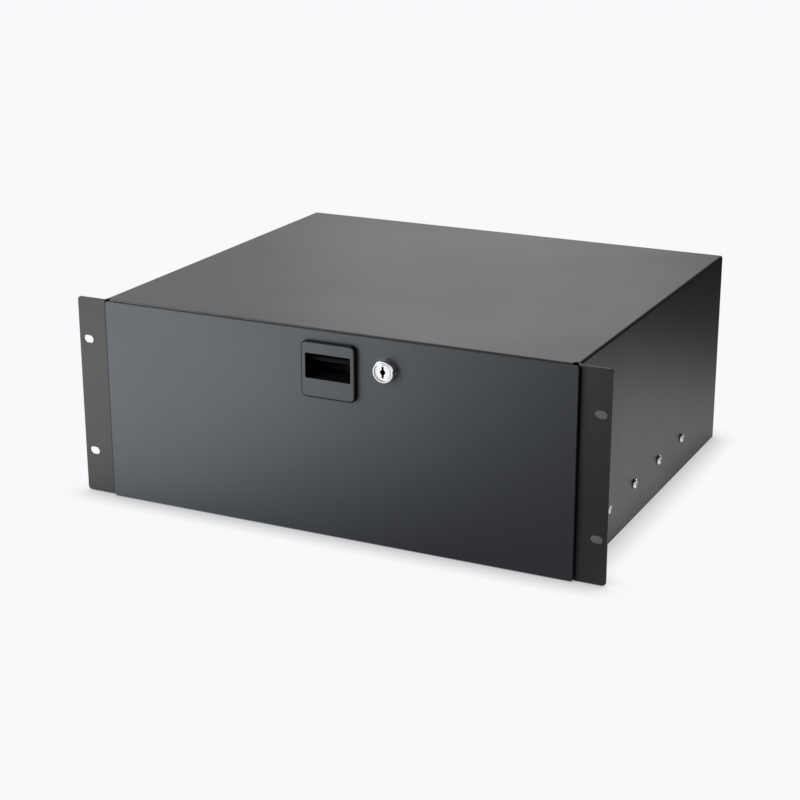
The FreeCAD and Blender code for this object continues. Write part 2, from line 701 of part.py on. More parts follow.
def make_drawer_tray():
    """Tray folded from one sheet, with its rim turned inward and a notch behind the latch."""
    body = new_body("drawer_tray", ("0", PANEL_REAR, "0"))
    wall = f"-1 * {TRAY_HALF}"
    rim = f"({TRAY_HALF} - tray_return)"
    sides = [(f"-1 * {rim}", "tray_rim"), (wall, "tray_rim"), (wall, "tray_floor"),
             (TRAY_HALF, "tray_floor"), (TRAY_HALF, "tray_rim"), (rim, "tray_rim")]
    fold = "(tray_sheet + tray_fold)"
    add(body, "XZ_Plane", fold, f"tray_depth - 2 * {fold}",
        [folded(sides, "tray_sheet", "tray_fold", LEFT_TURN)])
    inside = f"({TRAY_HALF} - tray_sheet - 0.1)"
    ends = [("0", "tray_rim"), ("0", "tray_floor"), ("tray_depth", "tray_floor"),
            ("tray_depth", "tray_rim"), ("tray_depth - tray_return", "tray_rim")]
    add(body, "YZ_Plane", f"-1 * {inside} + tray_fold", f"2 * ({inside} - tray_fold)",
        [folded(ends, "tray_sheet", "tray_fold", LEFT_TURN)])
    notch = rectangle(NOTCH_LEFT, "tray_notch_floor", NOTCH_RIGHT, "tray_rim + 1")
    cut(body, "XZ_Plane", "-1 * tray_sheet", "3 * tray_sheet", [notch])
    cut(body, "XZ_Plane", "-1 * tray_sheet", "3 * tray_sheet",
        [polygon(6, x, z, "1.7") for x, z in latch_screw_spots()])
    for side in (LEFT, RIGHT):
        cut(body, "YZ_Plane", f"{times(side, TRAY_HALF)} - 2 * tray_sheet", "4 * tray_sheet",
            [polygon(6, f"{spot} - {PANEL_REAR}", "rail_level", "screw_radius + 2 * screw_play")
             for spot in tray_screw_spots()])


def latch_screw_spots():
    return [(f"latch_x + {times(side, 'latch_screw_x')}", "latch_z + latch_screw_z")
            for side in (LEFT, RIGHT)]


NOTCH_LEFT = "latch_x - mouth_width / 2 - 3"
NOTCH_RIGHT = "lock_x + 14"


def make_front_panel():
    """Flat drawer front with its latch and lock cut-outs."""
    body = new_body("front_panel", ("0", PANEL_FRONT, "0"))
    half = "panel_width / 2"
    add(body, "XZ_Plane", "0", "panel_sheet",
        [rounded(f"-1 * {half}", "panel_top - panel_height", half, "panel_top", "panel_corner")])
    side, rise = "(mouth_width / 2 + cup_side + 0.3)", "(mouth_height / 2 + cup_wall + 0.3)"
    cup = rectangle(f"latch_x - {side}", f"latch_z - {rise}", f"latch_x + {side}",
                    f"latch_z + {rise}")
    round_part, flat = "(barrel_radius + 0.15)", "(barrel_flat + 0.15)"
    chord = f"sqrt({round_part} * {round_part} - {flat} * {flat})"
    arc = (round_part, LEFT_TURN)
    barrel = [(f"lock_x - {flat}", f"lock_z - {chord}", arc),
              (f"lock_x + {flat}", f"lock_z - {chord}", None),
              (f"lock_x + {flat}", f"lock_z + {chord}", arc),
              (f"lock_x - {flat}", f"lock_z + {chord}", None)]
    screws = [polygon(6, x, z, "1.7") for x, z in latch_screw_spots()]
    cut(body, "XZ_Plane", "-1 * panel_sheet", "3 * panel_sheet", [cup, barrel] + screws)


def make_panel_bumpers():
    """Rubber pads behind the drawer front, which meet the case's lip and its floor's flange."""
    bumper = new_body("bumper_master", kept=False)
    add(bumper, "XZ_Plane", "0", "panel_gap",
        [rectangle("-bumper_width / 2", "-bumper_height / 2", "bumper_width / 2",
                   "bumper_height / 2")])
    corners = []
    for across in (LEFT, RIGHT):
        for level in ("bumper_top", "bumper_low"):
            spot = FreeCAD.Vector(value(times(across, "bumper_spread / 2")), value(PANEL_REAR),
                                  value(level))
            corners.append((spot, FreeCAD.Rotation()))
    group("panel_bumpers", bumper, corners)


# ---------------------------------------------------------------- latch

LATCH = ("latch_x", "0", "latch_z")
MOUTH_X, MOUTH_Z = "mouth_width / 2", "mouth_height / 2"
CUP_X, CUP_Z = f"({MOUTH_X} + cup_side)", f"({MOUTH_Z} + cup_wall)"
CHANNEL = "(cup_rear + cup_rear_wall)"
BOLT_FRONT = "(strike_rear + cam_gap)"
GUIDE_X = "(bolt_half + bolt_play + guide_wall)"


def mirrored(x, low, high, radius):
    return rounded(f"-1 * {x}", low, x, high, radius)


def cover_pegs(play):
    """Square pegs on the ribs, or with play the holes that they fill."""
    half = f"(cover_peg / 2 + {play})"
    pegs = []
    for side in (LEFT, RIGHT):
        x = times(side, "cover_peg_x")
        pegs.append(rectangle(f"{x} - {half}", f"cover_peg_z - {half}", f"{x} + {half}",
                              f"cover_peg_z + {half}"))
    return pegs


def make_latch_housing():
    """Moulded finger cup with its flange, and the channel for the bolt on its rear wall."""
    body = new_body("latch_housing", LATCH)
    add(body, "XZ_Plane", f"{PANEL_FRONT} - base_sheet", "base_sheet",
        [mirrored("(base_width / 2)", "base_bottom", "base_top", "base_corner")])
    add(body, "XZ_Plane", PANEL_FRONT, f"{CHANNEL} - {PANEL_FRONT}",
        [rectangle(f"-1 * {CUP_X}", f"-1 * {CUP_Z}", CUP_X, CUP_Z)])
    add(body, "XZ_Plane", "cup_rear", f"{CHANNEL} - cup_rear + guide_depth",
        [rectangle(f"-1 * {GUIDE_X}", f"-1 * {CUP_Z}", GUIDE_X, "tower_top")])
    snap = []
    for side in (LEFT, RIGHT):
        middle = times(side, "12")
        snap.append(rectangle(f"{middle} - 2", f"{CUP_Z} - 0.5", f"{middle} + 2", f"{CUP_Z} + 1.5"))
    add(body, "XZ_Plane", f"{PANEL_REAR} + 0.1", "2.2", snap)
    deep = f"cup_rear - {PANEL_FRONT} + 2 * base_sheet"
    cut(body, "XZ_Plane", f"{PANEL_FRONT} - 2 * base_sheet", deep,
        [mirrored(f"({MOUTH_X})", f"-1 * {MOUTH_Z}", MOUTH_Z, "mouth_corner")])
    bolt_x = "(bolt_half + bolt_play)"
    cut(body, "XZ_Plane", CHANNEL, "guide_depth + 1",
        [rectangle(f"-1 * {bolt_x}", f"-1 * {MOUTH_Z}", bolt_x, "tower_top + 1")])
    cut(body, "XZ_Plane", "cup_rear - 1", "cup_rear_wall + 2",
        [rectangle("-1 * arm_half - 0.3", "pivot_z - 5.2", "arm_half + 0.3", "pivot_z + 5.2")])
    cut(body, "YZ_Plane", f"-1 * {CUP_X} - 1", f"2 * {CUP_X} + 2",
        [polygon(8, "pivot_y", "pivot_z", "pivot_radius + 0.02")])
    cut(body, "XZ_Plane", f"{PANEL_FRONT} - 2", "2",
        [polygon(6, times(side, "latch_screw_x"), "latch_screw_z", "1.5")
         for side in (LEFT, RIGHT)])
    add(body, "XZ_Plane", f"{CHANNEL} + guide_depth", "cover_sheet + 0.6", cover_pegs("0"))


def make_latch_faceplate():
    """Painted plate on the housing's flange, a little smaller than it."""
    body = new_body("latch_faceplate", LATCH)
    front = f"{PANEL_FRONT} - base_sheet - plate_sheet"
    add(body, "XZ_Plane", front, "plate_sheet",
        [mirrored("(base_width / 2 - plate_inset)", "base_bottom + plate_inset",
                  "base_top - plate_inset", "(base_corner - plate_inset)")])
    cut(body, "XZ_Plane", f"{front} - 1", "plate_sheet + 2",
        [mirrored(f"({MOUTH_X})", f"-1 * {MOUTH_Z}", MOUTH_Z, "mouth_corner")])


def make_latch_lever():
    """Finger plate that is lifted from below: its rear arm draws the bolt down."""
    body = new_body("latch_lever", LATCH)
    half = "lever_sheet / 2"
    front, width = "pivot_y - lever_reach", f"({MOUTH_X} - 0.3)"
    turn = (half, LEFT_TURN)
    plate = [("pivot_y", f"pivot_z - {half}", None), ("pivot_y", f"pivot_z + {half}", None),
             (front, f"pivot_z + {half}", turn), (f"{front} - {half}", "pivot_z", turn),
             (front, f"pivot_z - {half}", None), (front, f"pivot_z - {half} - 1.1", None),
             (f"{front} + 1.6", f"pivot_z - {half} - 1.1", None),
             (f"{front} + 1.6", f"pivot_z - {half}", None)]
    add(body, "YZ_Plane", f"-1 * {width}", f"2 * {width}", [plate])
    add(body, "YZ_Plane", f"-1 * {width}", f"2 * {width}",
        [circle("pivot_y", "pivot_z", "lever_hub")])
    arm = rectangle("pivot_y", "pivot_z - 0.8", "pivot_y + lever_arm", "pivot_z + 0.8")
    add(body, "YZ_Plane", "-1 * arm_half", "2 * arm_half", [arm])
    add(body, "YZ_Plane", "-1 * arm_half", "2 * arm_half",
        [polygon(8, "pivot_y + lever_arm", "pivot_z", "lever_tip")])
    cut(body, "YZ_Plane", f"-1 * {width} - 1", f"2 * {width} + 2",
        [polygon(8, "pivot_y", "pivot_z", "pivot_radius + 0.05")])


def make_lever_pin():
    body = new_body("lever_pin", LATCH)
    add(body, "YZ_Plane", f"-1 * {CUP_X}", f"2 * {CUP_X}",
        [circle("pivot_y", "pivot_z", "pivot_radius")])


def make_latch_bolt():
    """Sliding bolt: flat where it holds, sloped at the rear so that it rides under the strike."""
    body = new_body("latch_bolt", LATCH)
    add(body, "XY_Plane", "bolt_foot", "bolt_head - bolt_foot",
        [rectangle("-1 * bolt_half", BOLT_FRONT, "bolt_half", f"{BOLT_FRONT} + bolt_depth")])
    top, rear = value("bolt_head"), value(f"{BOLT_FRONT} + bolt_depth")
    dress(body, "Chamfer", "bolt_bevel", lambda middle, edge: along(edge, (1, 0, 0))
          and abs(middle.z - top) < 0.01 and abs(middle.y - rear) < 0.01)
    cut(body, "XZ_Plane", f"{BOLT_FRONT} - 1", "4.6",
        [rectangle("-1 * arm_half - 0.5", "pivot_z - 1.5", "arm_half + 0.5", "pivot_z + 1.5")])


def make_latch_spring():
    """Compression spring between the channel's floor and the bolt."""
    body = new_body("latch_spring", ("latch_x", f"{BOLT_FRONT} + bolt_depth / 2", "latch_z"))
    low = f"(spring_wire / 2 + 0.05 - {MOUTH_Z})"
    rise = f"(bolt_foot + {MOUTH_Z} - spring_wire - 0.1)"
    coil = body.newObject("PartDesign::AdditiveHelix", "latch_spring_coil")
    half = "spring_wire / 2"
    wire = new_sketch(body, "XZ_Plane", "0",
                      [rectangle(f"spring_radius - {half}", f"{low} - {half}",
                                 f"spring_radius + {half}", f"{low} + {half}")])
    coil.Profile = wire
    coil.ReferenceAxis = (wire, ["V_Axis"])
    coil.Mode = "height-turns-angle"
    coil.setExpression("Height", sized(rise))
    coil.setExpression("Turns", sized("spring_turns"))
    doc.recompute()


def make_latch_cover():
    """Plate pegged to the ribs, which keeps the bolt and its spring in the channel."""
    body = new_body("latch_cover", LATCH)
    add(body, "XZ_Plane", f"{CHANNEL} + guide_depth", "cover_sheet",
        [rectangle(f"-1 * {GUIDE_X}", f"-1 * {CUP_Z}", GUIDE_X, "tower_top")])
    cut(body, "XZ_Plane", f"{CHANNEL} + guide_depth - 1", "cover_sheet + 2",
        cover_pegs("screw_play"))


def set_latch_screws():
    """Screws that hold the housing's flange from behind the tray's front wall."""
    screw = make_screw("latch_screw_master", "1.45", "5", "2.8", "1.8", "0.6")
    seat = value(f"{PANEL_REAR} + tray_sheet")
    group("latch_screws", screw,
          [(FreeCAD.Vector(value(x), seat, value(z)), REARWARD) for x, z in latch_screw_spots()])


# ---------------------------------------------------------------- lock

LOCK = ("lock_x", "0", "lock_z")
COLLAR_FRONT = f"({PANEL_FRONT} - collar_proud)"


def make_lock_body():
    """Collar and flatted barrel, bored for the plug and its wider head."""
    body = new_body("lock_body", LOCK)
    bore, sink = "(plug_radius + lock_play)", "(plug_face + lock_play)"
    ledge = f"({COLLAR_FRONT} + plug_head + 0.3)"
    turned(body, "XY_Plane", "V_Axis", [
        (sink, COLLAR_FRONT, None), ("collar_radius - collar_bevel", COLLAR_FRONT, None),
        ("collar_radius", f"{COLLAR_FRONT} + collar_bevel", None),
        ("collar_radius", PANEL_FRONT, None), ("barrel_radius", PANEL_FRONT, None),
        ("barrel_radius", "barrel_rear", None), (bore, "barrel_rear", None), (bore, ledge, None),
        (sink, ledge, None)])
    flats = []
    for side in (LEFT, RIGHT):
        near, far = times(side, "barrel_flat"), times(side, "barrel_radius + 1")
        low, high = (near, far) if side == RIGHT else (far, near)
        flats.append(rectangle(low, "-1 * barrel_radius", high, "barrel_radius"))
    cut(body, "XZ_Plane", PANEL_FRONT, f"barrel_rear - {PANEL_FRONT} + 1", flats)


def make_lock_plug():
    """Turning plug with its keyway in front and a square tail for the cam."""
    body = new_body("lock_plug", LOCK)
    front = f"({COLLAR_FRONT} + 0.2)"
    shoulder = f"({front} + plug_head)"
    turned(body, "XY_Plane", "V_Axis", [
        ("0", front, None), ("plug_face", front, None), ("plug_face", shoulder, None), ("plug_radius", shoulder, None),
        ("plug_radius", "barrel_rear", None), ("0", "barrel_rear", None)])
    tail = rectangle("-1 * tail_half", "-1 * tail_half", "tail_half", "tail_half")
    add(body, "XZ_Plane", "barrel_rear", "cam_gap / 2 + cam_sheet - 0.05", [tail])
    slit, belly, top = "key_slit / 2", "key_belly / 2", "key_height / 2"
    shoulder_z = "key_height * 0.26"
    keyway = [(f"-1 * {slit}", f"-1 * {top}", None), (slit, f"-1 * {top}", None),
              (slit, f"-1 * {shoulder_z}", None), (belly, "0", None), (slit, shoulder_z, None),
              (slit, top, None), (f"-1 * {slit}", top, None), (f"-1 * {slit}", shoulder_z, None),
              (f"-1 * {belly}", "0", None), (f"-1 * {slit}", f"-1 * {shoulder_z}", None)]
    cut(body, "XZ_Plane", f"{front} - 1", "key_depth + 1", [keyway])
    cut(body, "XZ_Plane", "barrel_rear - 5", "10", [polygon(6, "0", "0", "1.55")])


def make_lock_cam():
    """Flat cam: it lies level when unlocked and stands up behind the strike when locked."""
    body = new_body("lock_cam", LOCK)
    tip = [("0", "-1 * cam_half", None), ("cam_reach - 2", "-1 * cam_half", None),
           ("cam_reach", "2 - cam_half", None), ("cam_reach", "cam_half - 2", None),
           ("cam_reach - 2", "cam_half", None), ("0", "cam_half", None)]
    add(body, "XZ_Plane", BOLT_FRONT, "cam_sheet", [tip])
    add(body, "XZ_Plane", BOLT_FRONT, "cam_sheet", [circle("0", "0", "cam_hub")])
    hole = "(tail_half + 0.05)"
    cut(body, "XZ_Plane", f"{BOLT_FRONT} - 1", "cam_sheet + 2",
        [rectangle(f"-1 * {hole}", f"-1 * {hole}", hole, hole)])


def make_lock_fixings():
    """Nut behind the drawer front, and the screw that holds the cam."""
    nut = new_body("lock_nut", LOCK)
    add(nut, "XZ_Plane", PANEL_REAR, "lock_nut_height",
        [polygon(6, "0", "0", "lock_nut_flats / 2"),
         circle("0", "0", "barrel_radius + screw_play")])
    screw = make_screw("cam_screw_master", "1.5", "5.5", "5", "2", "0.6")
    spot = FreeCAD.Vector(value("lock_x"), value(f"{BOLT_FRONT} + cam_sheet"), value("lock_z"))
    group("cam_screw", screw, [(spot, REARWARD)])


# ---------------------------------------------------------------- the whole drawer

def write_parts():
    """Test every object, then write each sub-part to its own file."""
    doc.recompute()
    for item in doc.Objects:
        check(not {"Invalid", "Error"} & set(item.State), f"{item.Name} failed")
    for part in parts:
        check(not part.Shape.isNull() and part.Shape.isValid(), f"{part.Label} is not valid")
    os.makedirs("parts", exist_ok=True)
    for part in parts:
        part.Shape.exportStep(os.path.join("parts", f"{part.Label}.step"))


fill_sheet()
make_case_shell()
make_bottom_pan()
make_strike()
slide_ball = make_ball()
for hand in (LEFT, RIGHT):
    make_outer_rail(hand)
    make_middle_rail(hand)
    make_inner_rail(hand)
    make_outer_cage(hand)
    make_inner_cage(hand)
    make_balls("outer_balls", hand, OUTER_ROW, slide_ball)
    make_balls("inner_balls", hand, INNER_ROW, slide_ball)
    make_buffer(hand)
make_drawer_tray()
set_screws(make_screw("slide_screw_master", "screw_radius", "screw_length", "head_radius",
                      "head_height", "head_bevel"))
make_front_panel()
make_panel_bumpers()
make_latch_housing()
make_latch_faceplate()
make_latch_lever()
make_lever_pin()
make_latch_bolt()
make_latch_spring()
make_latch_cover()
set_latch_screws()
make_lock_body()
make_lock_plug()
make_lock_cam()
make_lock_fixings()
write_parts()
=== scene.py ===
"""Looks of a sliding rack drawer: folded case, drawer front, finger latch, cam lock and slides.

Every size is in millimetres in the rack's frame, and becomes metres when a piece is finished.
"""

import json
import logging
import math
from collections.abc import Callable, Sequence
from dataclasses import dataclass, field
from enum import Enum

import bmesh
import bpy
from bmesh.types import BMEdge, BMFace
from mathutils import Matrix, Vector

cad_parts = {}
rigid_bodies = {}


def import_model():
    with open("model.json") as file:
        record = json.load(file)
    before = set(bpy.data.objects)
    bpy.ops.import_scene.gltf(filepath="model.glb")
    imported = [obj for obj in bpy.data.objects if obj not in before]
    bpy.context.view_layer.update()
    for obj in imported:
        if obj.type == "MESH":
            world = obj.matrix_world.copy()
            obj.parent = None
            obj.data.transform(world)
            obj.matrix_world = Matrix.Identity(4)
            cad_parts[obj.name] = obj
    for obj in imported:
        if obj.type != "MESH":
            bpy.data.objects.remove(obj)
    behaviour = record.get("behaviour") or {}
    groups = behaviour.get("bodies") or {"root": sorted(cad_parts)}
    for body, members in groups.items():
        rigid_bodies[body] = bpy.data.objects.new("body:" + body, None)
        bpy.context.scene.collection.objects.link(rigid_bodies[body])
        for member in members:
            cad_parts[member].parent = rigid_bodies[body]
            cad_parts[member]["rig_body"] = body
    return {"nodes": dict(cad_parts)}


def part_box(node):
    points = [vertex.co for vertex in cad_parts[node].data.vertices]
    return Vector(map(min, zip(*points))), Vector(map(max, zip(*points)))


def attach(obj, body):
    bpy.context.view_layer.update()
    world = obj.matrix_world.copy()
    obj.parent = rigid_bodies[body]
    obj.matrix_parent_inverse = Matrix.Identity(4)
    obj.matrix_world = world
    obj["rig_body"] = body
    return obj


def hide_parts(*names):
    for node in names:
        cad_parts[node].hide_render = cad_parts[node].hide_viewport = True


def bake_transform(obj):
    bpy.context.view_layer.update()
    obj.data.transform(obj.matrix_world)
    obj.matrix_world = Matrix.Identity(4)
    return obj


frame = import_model()

LOG = logging.getLogger("rack_drawer")
MM = 0.001
PAST = 1.0       # how far a cutting form runs past what it cuts
OVERLAP = 0.02   # how far two joined sheets run into each other
WELD = 0.0005    # corners nearer than this are one
CLOSE = 0.01     # an edge nearer than this to a place lies at it
ALONG = 0.999    # cosine above which an edge runs along an axis
SHARP = 0.9      # angle in radians between two faces, above which their edge is sharp
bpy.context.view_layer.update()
Colour = tuple[float, float, float]
Point = tuple[float, float, float]
EdgeTest = Callable[[BMEdge], bool]
FaceTest = Callable[[BMFace], bool]


class Axis(Enum):
    """A direction of the rack's frame."""

    X = 0
    Y = 1
    Z = 2


class Hand(Enum):
    """The left or right half of the drawer, as seen from its front."""

    LEFT = -1
    RIGHT = 1


class Slot(Enum):
    """The material slots that the part's record names."""

    CASE_PAINT = "case_paint"
    FRONT_PAINT = "front_paint"
    ZINC = "zinc"
    BRIGHT_STEEL = "bright_steel"
    CHROME = "chrome"
    BLACK_PLASTIC = "black_plastic"
    RUBBER = "rubber"


# ---------------------------------------------------------------- finishes


class Bench:
    """Adds and joins the nodes of one material or node group."""

    def __init__(self, tree: bpy.types.NodeTree) -> None:
        """Start on an empty tree."""
        self.tree = tree
        self.tree.nodes.clear()

    def add(self, kind: str, settings: dict[str, object] | None = None,
            **sockets: object) -> bpy.types.Node:
        """Add a node, set it up and feed its inputs.

        Args:
            kind: the node's type name.
            settings: the node's own properties.
            sockets: input names, with underscores for spaces, and a value or an output socket.

        Returns:
            The new node.
        """
        node = self.tree.nodes.new(kind)
        for name, setting in (settings or {}).items():
            setattr(node, name, setting)
        for name, given in sockets.items():
            self.feed(node.inputs[name.replace("_", " ")], given)
        return node

    def feed(self, socket: bpy.types.NodeSocket, given: object) -> None:
        """Join an output to an input, or set the input's own value."""
        if isinstance(given, bpy.types.NodeSocket):
            self.tree.links.new(given, socket)
        else:
            socket.default_value = given

    def math(self, operation: str, first: object, second: object) -> bpy.types.NodeSocket:
        """Combine two values.

        Args:
            operation: the math node's operation.
            first: a number or an output socket.
            second: a number or an output socket.

        Returns:
            The result's socket.
        """
        node = self.add("ShaderNodeMath", {"operation": operation})
        self.feed(node.inputs[0], first)
        self.feed(node.inputs[1], second)
        return node.outputs[0]

    def spread(self, value: object, low: float, high: float, to_low: float, to_high: float,
               curve: str = "LINEAR") -> bpy.types.NodeSocket:
        """Map a value from one range to another.

        Args:
            value: the socket that is mapped.
            low: the start of its range.
            high: the end of its range.
            to_low: what the start becomes.
            to_high: what the end becomes.
            curve: how it runs in between.

        Returns:
            The result's socket.
        """
        node = self.add("ShaderNodeMapRange", {"interpolation_type": curve}, Value=value,
                        From_Min=low, From_Max=high, To_Min=to_low, To_Max=to_high)
        return node.outputs["Result"]


class Effect(Enum):
    """Surface effects that several finishes share, each one node group."""

    PEEL = "powder_peel"
    HANDLING = "handling_marks"
    BRUSH = "rolled_grain"

    def group(self) -> bpy.types.NodeTree:
        """Give this effect's node group, built on first use."""
        known = bpy.data.node_groups.get(self.value)
        if known:
            return known
        tree = bpy.data.node_groups.new(self.value, "ShaderNodeTree")
        builders = {Effect.PEEL: _build_peel, Effect.HANDLING: _build_handling,
                    Effect.BRUSH: _build_brush}
        builders[self](tree)
        return tree


def _sockets(tree: bpy.types.NodeTree, inputs: dict[str, float],
             outputs: Sequence[str]) -> tuple[Bench, bpy.types.Node, bpy.types.Node]:
    """Declare a group's sockets.

    Args:
        tree: the empty node group.
        inputs: names of the number inputs and their usual values.
        outputs: names of the number outputs.

    Returns:
        The bench, the group's input node and its output node.
    """
    tree.interface.new_socket("Vector", in_out="INPUT", socket_type="NodeSocketVector")
    for name, usual in inputs.items():
        socket = tree.interface.new_socket(name, in_out="INPUT", socket_type="NodeSocketFloat")
        socket.default_value = usual
    for name in outputs:
        tree.interface.new_socket(name, in_out="OUTPUT", socket_type="NodeSocketFloat")
    bench = Bench(tree)
    return bench, bench.add("NodeGroupInput"), bench.add("NodeGroupOutput")


def _build_peel(tree: bpy.types.NodeTree) -> None:
    """Fine pebbles of a baked powder coat, over a slow waviness."""
    bench, source, result = _sockets(tree, {"Grain Scale": 1400.0}, ("Height", "Speckle"))
    fine = bench.add("ShaderNodeTexNoise", Vector=source.outputs["Vector"],
                     Scale=source.outputs["Grain Scale"], Detail=2.0, Roughness=0.55)
    pebbles = bench.add("ShaderNodeTexVoronoi", {"feature": "SMOOTH_F1"},
                        Vector=source.outputs["Vector"],
                        Scale=bench.math("MULTIPLY", source.outputs["Grain Scale"], 0.62))
    slow = bench.add("ShaderNodeTexNoise", Vector=source.outputs["Vector"],
                     Scale=bench.math("MULTIPLY", source.outputs["Grain Scale"], 0.17),
                     Detail=1.0)
    grain = bench.math("SUBTRACT", fine.outputs["Fac"],
                       bench.math("MULTIPLY", pebbles.outputs["Distance"], 0.6))
    bench.feed(result.inputs["Height"],
               bench.math("ADD", grain, bench.math("MULTIPLY", slow.outputs["Fac"], 0.5)))
    bench.feed(result.inputs["Speckle"], bench.spread(fine.outputs["Fac"], 0.42, 0.7, 0.0, 1.0))


def _build_handling(tree: bpy.types.NodeTree) -> None:
    """Soft patches of handling and a little settled dust."""
    bench, source, result = _sockets(tree, {"Patch Scale": 9.0}, ("Patches", "Dust"))
    patches = bench.add("ShaderNodeTexNoise", Vector=source.outputs["Vector"],
                        Scale=source.outputs["Patch Scale"], Detail=5.0, Roughness=0.6,
                        Distortion=0.4)
    dust = bench.add("ShaderNodeTexNoise", Vector=source.outputs["Vector"],
                     Scale=bench.math("MULTIPLY", source.outputs["Patch Scale"], 60.0),
                     Detail=3.0, Roughness=0.7)
    bench.feed(result.inputs["Patches"],
               bench.spread(patches.outputs["Fac"], 0.3, 0.7, 0.0, 1.0))
    specks = bench.spread(dust.outputs["Fac"], 0.66, 0.8, 0.0, 1.0)
    bench.feed(result.inputs["Dust"], bench.math("MULTIPLY", specks, patches.outputs["Fac"]))


def _build_brush(tree: bpy.types.NodeTree) -> None:
    """Straight fine lines that rolling leaves along a strip."""
    bench, source, result = _sockets(tree, {"Line Scale": 900.0}, ("Height", "Streaks"))
    stretch = bench.add("ShaderNodeMapping", Vector=source.outputs["Vector"],
                        Scale=(1.0, 0.02, 1.0))
    lines = bench.add("ShaderNodeTexNoise", Vector=stretch.outputs["Vector"],
                      Scale=source.outputs["Line Scale"], Detail=3.0, Roughness=0.6)
    bands = bench.add("ShaderNodeTexNoise", Vector=stretch.outputs["Vector"],
                      Scale=bench.math("MULTIPLY", source.outputs["Line Scale"], 0.12),
                      Detail=2.0)
    bench.feed(result.inputs["Height"], lines.outputs["Fac"])
    bench.feed(result.inputs["Streaks"], bench.spread(bands.outputs["Fac"], 0.3, 0.7, 0.0, 1.0))


@dataclass(frozen=True)
class Finish:
    """What every finish of this drawer has."""

    name: str
    colour: Colour
    roughness: float

    def material(self) -> bpy.types.Material:
        """Give this finish's material, built on first use."""
        known = bpy.data.materials.get(self.name)
        if known:
            return known
        made = bpy.data.materials.new(self.name)
        made.use_nodes = True
        bench = Bench(made.node_tree)
        shader = bench.add("ShaderNodeBsdfPrincipled")
        output = bench.add("ShaderNodeOutputMaterial", Surface=shader.outputs["BSDF"])
        output.location = (400, 0)
        place = bench.add("ShaderNodeTexCoord").outputs["Object"]
        made.diffuse_color = (*self.colour, 1.0)
        self.dress(bench, shader, place)
        return made

    def dress(self, bench: Bench, shader: bpy.types.Node, place: bpy.types.NodeSocket) -> None:
        """Set the shader; each kind of finish does it in its own way."""
        raise NotImplementedError

    def effect(self, bench: Bench, effect: Effect, place: bpy.types.NodeSocket,
               **amounts: float) -> bpy.types.Node:
        """Put a shared effect into the material.

        Args:
            bench: the material's bench.
            effect: which effect.
            place: the coordinates that it follows.
            amounts: its inputs, with underscores for spaces.

        Returns:
            The group's node.
        """
        node = bench.add("ShaderNodeGroup", {"node_tree": effect.group()})
        bench.feed(node.inputs["Vector"], place)
        for name, amount in amounts.items():
            bench.feed(node.inputs[name.replace("_", " ")], amount)
        return node

    def tint(self, bench: Bench, mask: bpy.types.NodeSocket, other: Colour,
             amount: float) -> bpy.types.NodeSocket:
        """Mix a second colour into this finish's own.

        Args:
            bench: the material's bench.
            mask: where the second colour goes.
            other: the second colour.
            amount: how much of it goes in where the mask is full.

        Returns:
            The mixed colour's socket.
        """
        mix = bench.add("ShaderNodeMix", {"data_type": "RGBA"})
        bench.feed(mix.inputs[0], bench.math("MULTIPLY", mask, amount))
        mix.inputs[6].default_value = (*self.colour, 1.0)
        mix.inputs[7].default_value = (*other, 1.0)
        return mix.outputs[2]

    def relief(self, bench: Bench, shader: bpy.types.Node, height: bpy.types.NodeSocket,
               depth: float, strength: float) -> None:
        """Give the surface a fine relief.

        Args:
            bench: the material's bench.
            shader: the shader that takes the relief.
            height: the relief's height, about nought to one.
            depth: how deep a full step is, in millimetres.
            strength: share of the relief that is kept.
        """
        bump = bench.add("ShaderNodeBump", Height=height, Distance=depth * MM, Strength=strength)
        bench.feed(shader.inputs["Normal"], bump.outputs["Normal"])


@dataclass(frozen=True)
class PowderCoat(Finish):
    """Black powder paint, baked to a fine even peel."""

    peel: float = 1500.0
    depth: float = 0.05
    relief_share: float = 0.35
    sheen_patches: float = 0.02
    patch_scale: float = 7.0
    fleck: Colour = (0.1, 0.1, 0.104)
    fleck_share: float = 0.12
    dust_share: float = 0.2

    def dress(self, bench: Bench, shader: bpy.types.Node, place: bpy.types.NodeSocket) -> None:
        """Lay the paint: flecked colour, patchy gloss and the peel's relief."""
        peel = self.effect(bench, Effect.PEEL, place, Grain_Scale=self.peel)
        marks = self.effect(bench, Effect.HANDLING, place, Patch_Scale=self.patch_scale)
        fleck = bench.math("ADD",
                           bench.math("MULTIPLY", peel.outputs["Speckle"], self.fleck_share),
                           bench.math("MULTIPLY", marks.outputs["Dust"], self.dust_share))
        bench.feed(shader.inputs["Base Color"], self.tint(bench, fleck, self.fleck, 1.0))
        gloss = bench.spread(marks.outputs["Patches"], 0.0, 1.0,
                             self.roughness - self.sheen_patches,
                             self.roughness + self.sheen_patches)
        bench.feed(shader.inputs["Roughness"], gloss)
        self.relief(bench, shader, peel.outputs["Height"], self.depth, self.relief_share)


